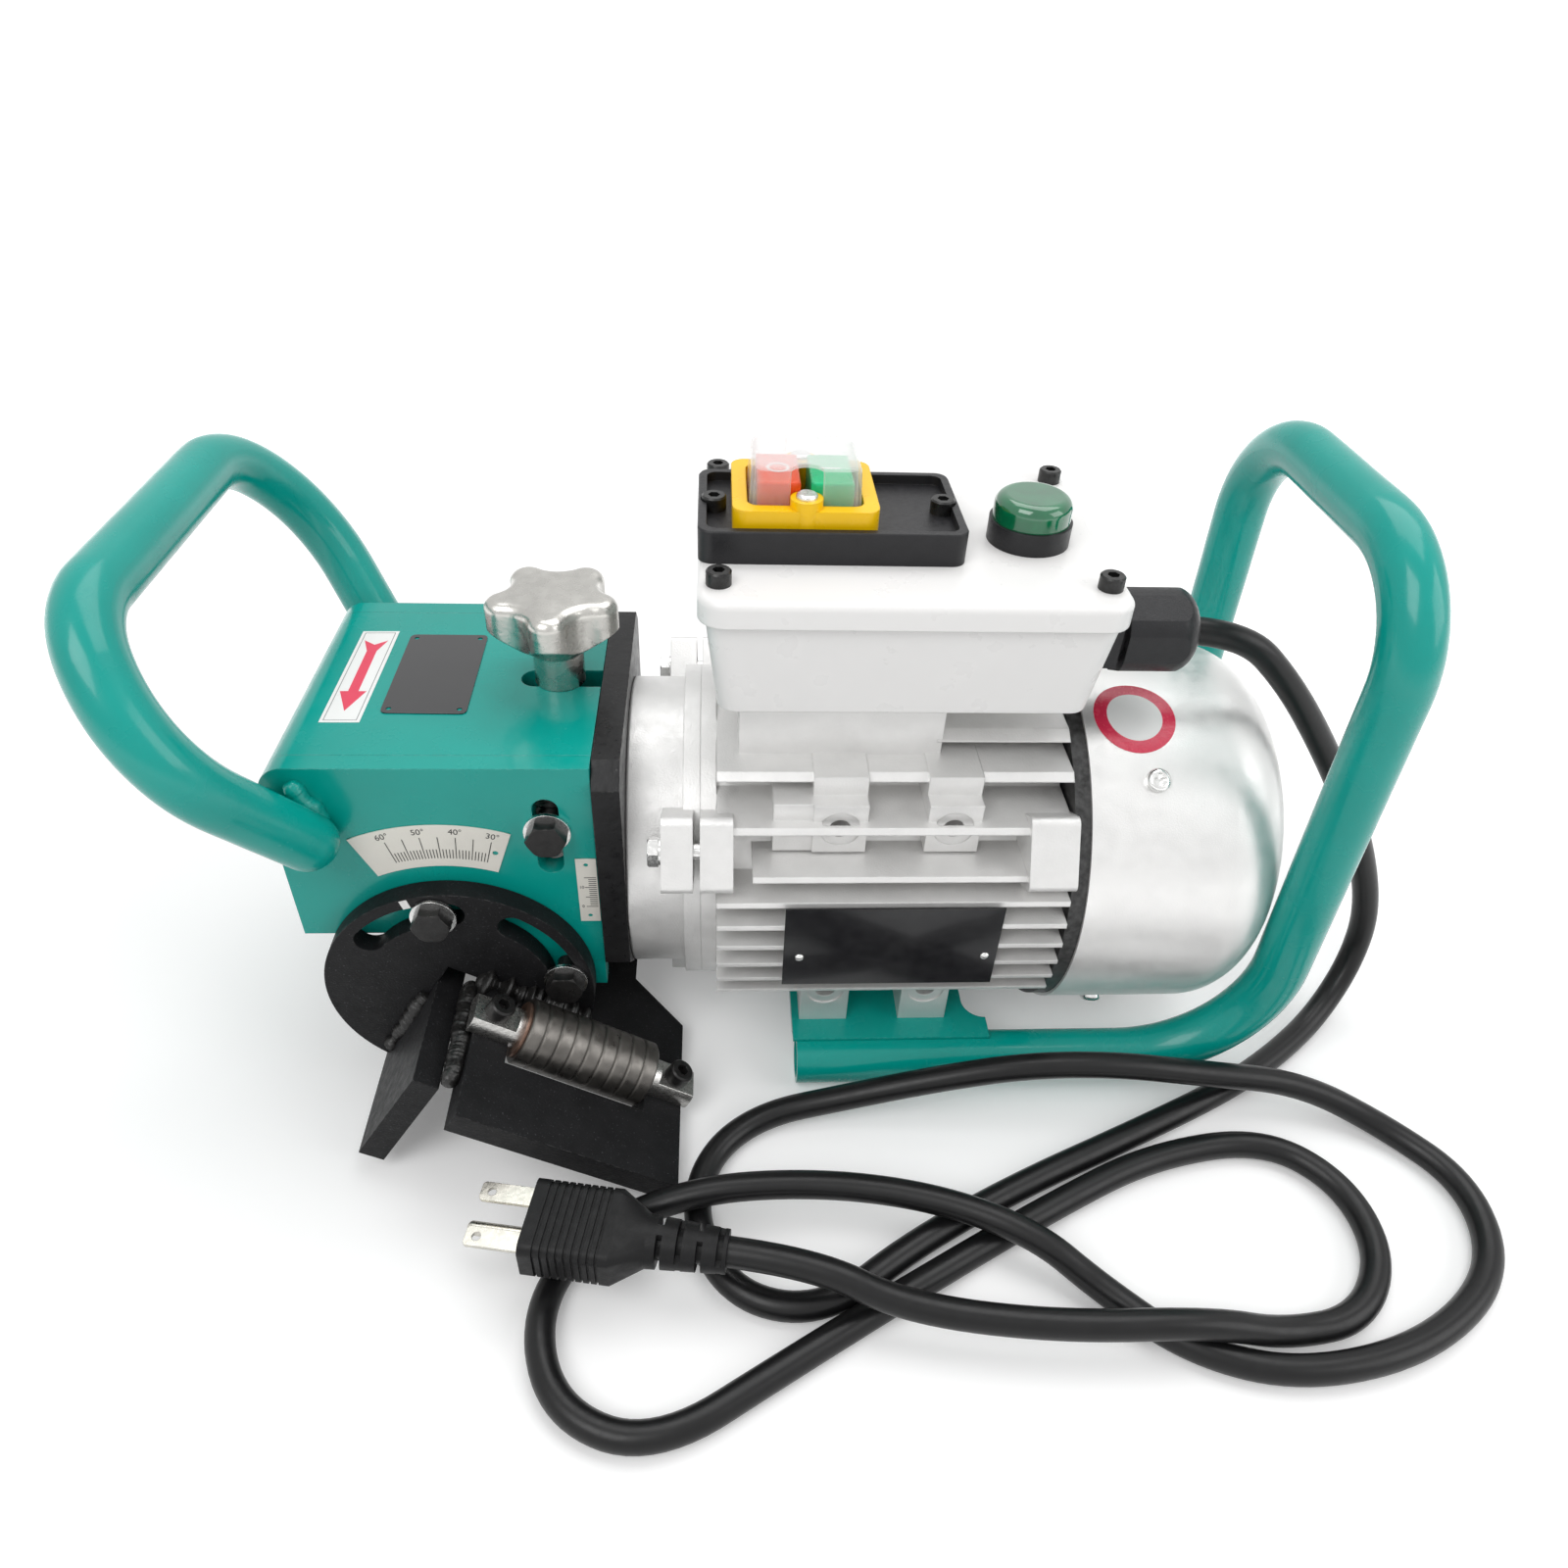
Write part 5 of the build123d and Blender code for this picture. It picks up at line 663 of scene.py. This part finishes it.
def angle_scale():
    hole = ring_points(ANGLE_HOLE_R, *polar(*ANGLE_HOLE), HOLE_SIDES)
    outlines = [arc_outline(*ANGLE_PLATE_R, *ANGLE_PLATE_SPAN), hole]
    plate = flat_mesh(outlines, PLATE_T, on_front(PIVOT_X, PIVOT_Z))
    add_piece("angle_scale_plate", plate, "housing", CREAM)
    ticks = []
    for value in range(ANGLE_FIRST, ANGLE_LAST + 1):
        top = ANGLE_LONG_R if value % 5 == 0 else ANGLE_SHORT_R
        ticks.append(radial_tick(ANGLE_TICK_R, top, value + ANGLE_OF_ZERO, ANGLE_TICK_W))
    where = on_front(PIVOT_X, PIVOT_Z, lift=PLATE_PRINT_LIFT)
    marks = [flat_mesh(ticks, PLATE_PRINT_T, where)]
    for value in range(ANGLE_LAST, ANGLE_FIRST - 1, -10):
        angle = value + ANGLE_OF_ZERO
        x, z = polar(ANGLE_NUMBER_R, angle)
        lean = Matrix.Rotation(radians(angle - 90), 4, "Z")
        where = on_front(PIVOT_X + x, PIVOT_Z + z, lift=PLATE_PRINT_LIFT) @ lean
        marks.append(text_mesh(str(value) + "°", ANGLE_NUMBER_SIZE, PLATE_PRINT_T, where))
    add_piece("angle_scale_marks", joined(marks), "housing", BLACK_PRINT)


# Depth scale: its edges in X and Z, and its marks, one for each millimetre
DEPTH_LEFT, DEPTH_RIGHT, DEPTH_LOW, DEPTH_HIGH = -18.2, -10.6, -3.7, 28.5
DEPTH_HOLE_R, DEPTH_HOLE_IN = 0.9, 3
DEPTH_ZERO_Z, DEPTH_LAST = 4.0, 15
DEPTH_TICK_IN, DEPTH_SHORT, DEPTH_LONG, DEPTH_TICK_W = 0.5, 2.9, 4.4, 0.3
DEPTH_NUMBER_X, DEPTH_NUMBER_UP, DEPTH_NUMBER_SIZE = -16.7, 0.2, 1.9


def depth_scale():
    x, z = (DEPTH_LEFT + DEPTH_RIGHT) / 2, (DEPTH_LOW + DEPTH_HIGH) / 2
    rows = (DEPTH_LOW + DEPTH_HOLE_IN, DEPTH_HIGH - DEPTH_HOLE_IN)
    holes = [ring_points(DEPTH_HOLE_R, 0, row - z, HOLE_SIDES) for row in rows]
    outline = box_points(DEPTH_LEFT - x, DEPTH_RIGHT - x, DEPTH_LOW - z, DEPTH_HIGH - z)
    plate = flat_mesh([outline] + holes, PLATE_T, on_front(x, z))
    add_piece("depth_scale_plate", plate, "housing", CREAM)
    ticks = []
    right = DEPTH_RIGHT - DEPTH_TICK_IN
    for value in range(DEPTH_LAST + 1):
        length = DEPTH_LONG if value % 5 == 0 else DEPTH_SHORT
        low = DEPTH_ZERO_Z + value
        ticks.append(box_points(right - length, right, low, low + DEPTH_TICK_W))
    marks = [flat_mesh(ticks, PLATE_PRINT_T, on_front(0, 0, lift=PLATE_PRINT_LIFT))]
    for value in (10, 0):
        height = DEPTH_ZERO_Z + value + DEPTH_NUMBER_UP
        where = on_front(DEPTH_NUMBER_X, height, lift=PLATE_PRINT_LIFT)
        marks.append(text_mesh(str(value), DEPTH_NUMBER_SIZE, PLATE_PRINT_T, where))
    add_piece("depth_scale_marks", joined(marks), "housing", BLACK_PRINT)


# Arrow label and bare plate on top of the housing, in X and Y
LABEL = [(-108.8, 33.6), (-94.4, 33.9), (-94.8, -30.1), (-109.2, -30.2)]
LABEL_LINE_OUTSIDE = [(-107.6, 32.4), (-95.6, 32.7), (-96.0, -28.9), (-108.0, -29.0)]
LABEL_LINE_INSIDE = [(-107.3, 32.1), (-95.9, 32.4), (-96.3, -28.6), (-107.7, -28.7)]
ARROW_X = -101.9
ARROW = [
    (-1.9, 18.5), (-4.6, 26.5), (0, 23.2), (4.6, 26.5), (1.9, 18.5), (1.9, -10.0),
    (4.9, -10.0), (0, -23.0), (-4.9, -10.0), (-1.9, -10.0),
]
TOP_PLATE = [(-89, 31), (-58.5, 31), (-57.8, -24.7), (-89, -24.3)]
TOP_PLATE_CORNER = 2.5
TOP_PLATE_HOLES = [(-86.3, 28.2), (-61.2, 28.2), (-60.6, -21.9), (-86.3, -21.6)]
TOP_PLATE_HOLE_R = 1.0


def arrow_label():
    paper = flat_mesh([LABEL], PAPER_T, on_top(0, 0, PAPER_LIFT))
    where = on_top(0, 0, PAPER_PRINT_LIFT)
    arrow = [(ARROW_X + across, along) for across, along in ARROW]
    print_mesh = flat_mesh([arrow], PAPER_PRINT_T, where)
    line = flat_mesh([LABEL_LINE_OUTSIDE, LABEL_LINE_INSIDE], PAPER_PRINT_T, where)
    add_piece("arrow_label", paper, "housing", WHITE_LABEL)
    add_piece("arrow_print", print_mesh, "housing", RED_PRINT)
    add_piece("label_line", line, "housing", GREY_PRINT)


def rounded(corners, radius, count=5):
    """Outline with each corner drawn as a short curve."""
    points = []
    befores, afters = corners[-1:] + corners, corners[1:] + corners[:1]
    for before, corner, after in zip(befores, corners, afters):
        here = Vector(corner)
        start = here + (Vector(before) - here).normalized() * radius
        end = here + (Vector(after) - here).normalized() * radius
        for i in range(count + 1):
            t = i / count
            spot = start * (1 - t) ** 2 + here * 2 * t * (1 - t) + end * t ** 2
            points.append((spot.x, spot.y))
    return points


def top_nameplate():
    corners = rounded(TOP_PLATE, TOP_PLATE_CORNER)
    holes = [ring_points(TOP_PLATE_HOLE_R, x, y, HOLE_SIDES) for x, y in TOP_PLATE_HOLES]
    plate = flat_mesh([corners] + holes, PLATE_T, on_top(0, 0))
    add_piece("top_nameplate", plate, "housing", NAMEPLATE)


# White mark on the front disc: radii, angle and width about the pivot of the guide
INDEX_R, INDEX_ANGLE, INDEX_W = (47.5, 51.6), 106.5, 3.0


def index_mark():
    where = on_front(PIVOT_X, PIVOT_Z, DISC_FRONT, PAPER_LIFT)
    mark = flat_mesh([radial_tick(*INDEX_R, INDEX_ANGLE, INDEX_W)], PAPER_T, where)
    add_piece("disc_index_mark", mark, "guide", WHITE_PAINT)


# Rivets of the motor's nameplate
RIVETS_X, RIVET_Z = (65, 135.5), -2.0
RIVET_R, RIVET_HEIGHT = 1.8, 1.0
NAMEPLATE_T = 0.5


def dome(x, y, z, radius, height, axis):
    """Low rivet head on a face whose normal is axis."""
    rings, sides = 4, 20
    shape = bmesh.new()
    rows = []
    for i in range(rings):
        angle = pi / 2 * i / rings
        ring = ring_points(radius * cos(angle), count=sides)
        rows.append([shape.verts.new((a, b, height * sin(angle))) for a, b in ring])
    rows.append([shape.verts.new((0, 0, height))])
    for low, high in zip(rows, rows[1:]):
        skin(shape, low, high)
    shape.faces.new(list(reversed(rows[0])))
    smooth(shape)
    mesh = finished(shape, "dome")
    turn = AXIS_Z.rotation_difference(axis).to_matrix().to_4x4()
    mesh.transform(Matrix.Translation(place(x, y, z)) @ turn @ Matrix.Scale(MM, 4))
    return mesh


def nameplate_rivets():
    y = FIN_FRONT - NAMEPLATE_T
    rivets = [dome(x, y, RIVET_Z, RIVET_R, RIVET_HEIGHT, -AXIS_Y) for x in RIVETS_X]
    add_piece("nameplate_rivets", joined(rivets), "motor_unit", ZINC)


# Marks on the buttons: radii of the ring, and half the length and width of the line
STOP_RING_R = (4.0, 3.0)
START_LINE_HALF = (3.6, 0.55)
BUTTON_MARK_LIFT = 0.05


def button_marks():
    """A white ring on the stop button and a white line on the start button."""
    length, width = START_LINE_HALF
    marks = {
        "stop_button": ("stop_ring", [ring_points(radius) for radius in STOP_RING_R]),
        "start_button": ("start_line", [box_points(-length, length, -width, width)]),
    }
    for node, (name, outlines) in marks.items():
        low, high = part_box(node)
        middle = (low + high) / 2
        middle.z = high.z + BUTTON_MARK_LIFT * MM
        mark = flat_mesh(outlines, PAPER_T, Matrix.Translation(middle))
        add_piece(name, mark, node, WHITE_PAINT)


# Round sticker on the fan cowl: where its middle is along the motor and round it in degrees
STICKER_X, STICKER_ANGLE = 191.9, 69.6
STICKER_R, STICKER_WHITE_R = 15.6, 10.6
STICKER_LIFT, STICKER_T = 0.05, 0.15


def bent_label(name, inner, outer, mat):
    """Round label bent round the fan cowl: a ring, or a disc where the inner radius is nothing."""
    sectors, steps = 48, 5
    shape = bmesh.new()
    layers = []
    for radius in (COWL_R + STICKER_LIFT, COWL_R + STICKER_LIFT + STICKER_T):
        rows = []
        for i in range(steps + 1):
            row = []
            for along, round_by in ring_points(inner + (outer - inner) * i / steps, count=sectors):
                angle = radians(STICKER_ANGLE) + round_by / COWL_R
                spot = place(STICKER_X + along, -radius * cos(angle), radius * sin(angle))
                row.append(shape.verts.new(spot))
            rows.append(row)
        layers.append(rows)
    pairs = [(rows[i], rows[i + 1]) for rows in layers for i in range(steps)]
    pairs.append((layers[0][-1], layers[1][-1]))
    if inner:
        pairs.append((layers[0][0], layers[1][0]))
    for first, second in pairs:
        skin(shape, first, second)
    bmesh.ops.remove_doubles(shape, verts=shape.verts, dist=SAME_POINT)
    bmesh.ops.recalc_face_normals(shape, faces=shape.faces)
    add_piece(name, finished(shape, name), "motor_unit", mat)


def cowl_sticker():
    bent_label("sticker_edge", STICKER_WHITE_R, STICKER_R, STICKER_RED)
    bent_label("sticker_middle", 0.0, STICKER_WHITE_R, WHITE_LABEL)


angle_scale()
depth_scale()
button_marks()
cowl_sticker()
arrow_label()
top_nameplate()
index_mark()
nameplate_rivets()


# Weld beads: how finely they are drawn, and by how much and on what scale of noise their middle
# wanders, their size swells and their skin is lumpy. The seed keeps the noise the same each run.
RING_STEP, RING_SIDES, LEAST_RINGS = 0.45, 12, 6
RIPPLE_PITCH = 1.7
WANDER, WANDER_SCALE = 0.25, 0.22
SWELL_SCALE = 0.35
LUMPS, LUMP_SCALE = 0.12, 1.3
BLUNT_END = 0.15

# Welds of the guide, by guide_point(), and of the front handle, by handle_point()
DISC_WELD_Y = 66.4
SUPPORT_WELD_U, SUPPORT_WELD_V, SUPPORT_WELD_R = (2, 51), 10.4, 4.6
FENCE_WELD_U, FENCE_WELD_V, FENCE_WELD_R = -10.4, (-8, -46), 3.4
CORNER_WELD_U, CORNER_WELD_V, CORNER_WELD_R = 2.2, 4.6, 3.6
CORNER_WELD_Y = (65.0, 112.5)
HANDLE_X, HANDLE_Z, HANDLE_TILT = -114.3, 54.8, radians(60.5)
HANDLE_WELD_S = (-12, 8)
HANDLE_WELD_Y, HANDLE_WELD_OUT, HANDLE_WELD_IN = 58.6, 6.2, 0.8
HANDLE_WELD_R = 3.4


def bead(start, end, radius, seed, ripple, swell):
    """Rippled bead between two points in millimetres, of uneven size, closed at both ends."""
    noise.seed_set(seed)
    step = end - start
    direction = step.normalized()
    side = direction.orthogonal().normalized()
    other = direction.cross(side)
    count = max(LEAST_RINGS, int(step.length / RING_STEP))
    shape = bmesh.new()
    rows = []
    for i in range(count + 1):
        along = step.length * i / count
        middle = start + step * (along / step.length)
        wave = 1 + ripple * abs(sin(pi * along / RIPPLE_PITCH))
        wave += swell * noise.noise(middle * SWELL_SCALE)
        inside = min(1.0, min(along, step.length - along) / radius + BLUNT_END)
        row_r = radius * wave * (1 - (1 - inside) ** 2) ** 0.5
        middle = middle + noise.noise_vector(middle * WANDER_SCALE) * radius * WANDER
        row = []
        for k in range(RING_SIDES):
            angle = 2 * pi * k / RING_SIDES
            out = side * cos(angle) + other * sin(angle)
            rough = 1 + LUMPS * noise.noise((middle + out * radius) * LUMP_SCALE)
            row.append(shape.verts.new(place(*(middle + out * row_r * rough))))
        rows.append(row)
    for low, high in zip(rows, rows[1:]):
        skin(shape, low, high)
    shape.faces.new(list(reversed(rows[0])))
    shape.faces.new(rows[-1])
    smooth(shape)
    bmesh.ops.recalc_face_normals(shape, faces=shape.faces)
    return finished(shape, "bead")


def guide_welds():
    """Welds of each disc to the two plates, outside, and of the plates in the corner of the V."""
    beads = []
    for side in (-1, 1):
        y = side * DISC_WELD_Y
        support = [guide_point(u, y, SUPPORT_WELD_V) for u in SUPPORT_WELD_U]
        fence = [guide_point(FENCE_WELD_U, y, v) for v in FENCE_WELD_V]
        corner = [guide_point(CORNER_WELD_U, side * end, CORNER_WELD_V) for end in CORNER_WELD_Y]
        beads.append(bead(*support, SUPPORT_WELD_R, seed=3, ripple=0.12, swell=0.9))
        beads.append(bead(*fence, FENCE_WELD_R, seed=5, ripple=0.12, swell=0.8))
        beads.append(bead(*corner, CORNER_WELD_R, seed=9, ripple=0.03, swell=0.1))
    add_piece("guide_welds", joined(beads), "guide", WELD)


def handle_point(s, y, across):
    """Point given along the front handle's slanted plane, across the machine, and square to it."""
    x = HANDLE_X - s * cos(HANDLE_TILT) + across * sin(HANDLE_TILT)
    return Vector((x, y, HANDLE_Z + s * sin(HANDLE_TILT) + across * cos(HANDLE_TILT)))


def handle_welds():
    """Beads on both sides of each handle end, where it lies on its side plate."""
    beads = []
    for side in (-1, 1):
        y = side * HANDLE_WELD_Y
        for across in (-HANDLE_WELD_OUT, HANDLE_WELD_OUT):
            low, high = HANDLE_WELD_S
            line = handle_point(low, y, across * HANDLE_WELD_IN), handle_point(high, y, across)
            beads.append(bead(*line, HANDLE_WELD_R, seed=7, ripple=0.05, swell=0.15))
    add_piece("handle_welds", joined(beads), "housing", TEAL)


guide_welds()
handle_welds()


# Stage and light, in metres and watts. The camera, mirrors and glass see a white world, and a
# floor that is lifted towards white: by FLOOR_LIFT at the object and fully beyond FLOOR_FADE. All
# other rays meet the world at its own level and a plain floor.
FLOOR_REACH = 30.0
FLOOR_LIFT = 0.18
FLOOR_FADE = (0.3, 1.1)
WORLD_LEVEL = 0.36
LAMP_TARGET = Vector((0, 0, 0.08))
LAMPS = {
    "key_light": ((-0.7, -0.9, 1.5), (1.0, 1.0), 13),
    "top_light": ((0.3, 0.5, 1.7), (1.6, 1.2), 15),
    "fill_light": ((1.3, -0.6, 0.9), (0.9, 0.9), 6),
}


def lamp(name, where, size, power):
    data = bpy.data.lights.new(name, "AREA")
    data.shape = "RECTANGLE"
    data.size, data.size_y = size
    data.energy = power
    obj = bpy.data.objects.new(name, data)
    bpy.context.scene.collection.objects.link(obj)
    obj.location = where
    obj.rotation_euler = (LAMP_TARGET - Vector(where)).to_track_quat("-Z", "Y").to_euler()


def seen_ray(nodes, links):
    """One for rays from the camera, mirrors and glass, nothing for those that light the object."""
    path = nodes.new("ShaderNodeLightPath")
    total = path.outputs["Is Camera Ray"]
    for output in ("Is Glossy Ray", "Is Transmission Ray"):
        total = math_node(nodes, links, "MAXIMUM", total, path.outputs[output])
    return total


def make_stage():
    data = bpy.data.meshes.new("floor")
    square = box_points(-FLOOR_REACH, FLOOR_REACH, -FLOOR_REACH, FLOOR_REACH)
    data.from_pydata([(x, y, 0) for x, y in square], [], [(0, 1, 2, 3)])
    floor = bpy.data.objects.new("floor", data)
    bpy.context.scene.collection.objects.link(floor)
    mat, nodes, links, shader = node_tree("pale_floor")
    coords = nodes.new("ShaderNodeTexCoord").outputs["Object"]
    clouds = noise_node(nodes, links, coords, 3.0, 2.0)
    colour = mix_node(nodes, links, clouds, (0.86, 0.86, 0.86), (0.9, 0.9, 0.9))
    links.new(colour, shader.inputs["Base Color"])
    shader.inputs["Roughness"].default_value = 0.7
    shader.inputs["Specular IOR Level"].default_value = 0.2
    distance = nodes.new("ShaderNodeVectorMath")
    distance.operation = "LENGTH"
    links.new(coords, distance.inputs[0])
    away = distance.outputs["Value"]
    glow = ramp_node(nodes, links, away, *FLOOR_FADE, FLOOR_LIFT, 1.0)
    seen = math_node(nodes, links, "MULTIPLY", glow, seen_ray(nodes, links))
    shader.inputs["Emission Color"].default_value = (1.0, 1.0, 1.0, 1.0)
    links.new(seen, shader.inputs["Emission Strength"])
    data.materials.append(mat)


def make_world():
    world = bpy.data.worlds.new("studio")
    bpy.context.scene.world = world
    world.use_nodes = True
    nodes, links = world.node_tree.nodes, world.node_tree.links
    background = nodes["Background"]
    background.inputs["Color"].default_value = (1.0, 1.0, 1.0, 1.0)
    strength = ramp_node(nodes, links, seen_ray(nodes, links), 0.0, 1.0, WORLD_LEVEL, 1.0)
    links.new(strength, background.inputs["Strength"])


make_stage()
make_world()
for name, (where, size, power) in LAMPS.items():
    lamp(name, where, size, power)

bpy.context.scene.view_settings.view_transform = "Standard"
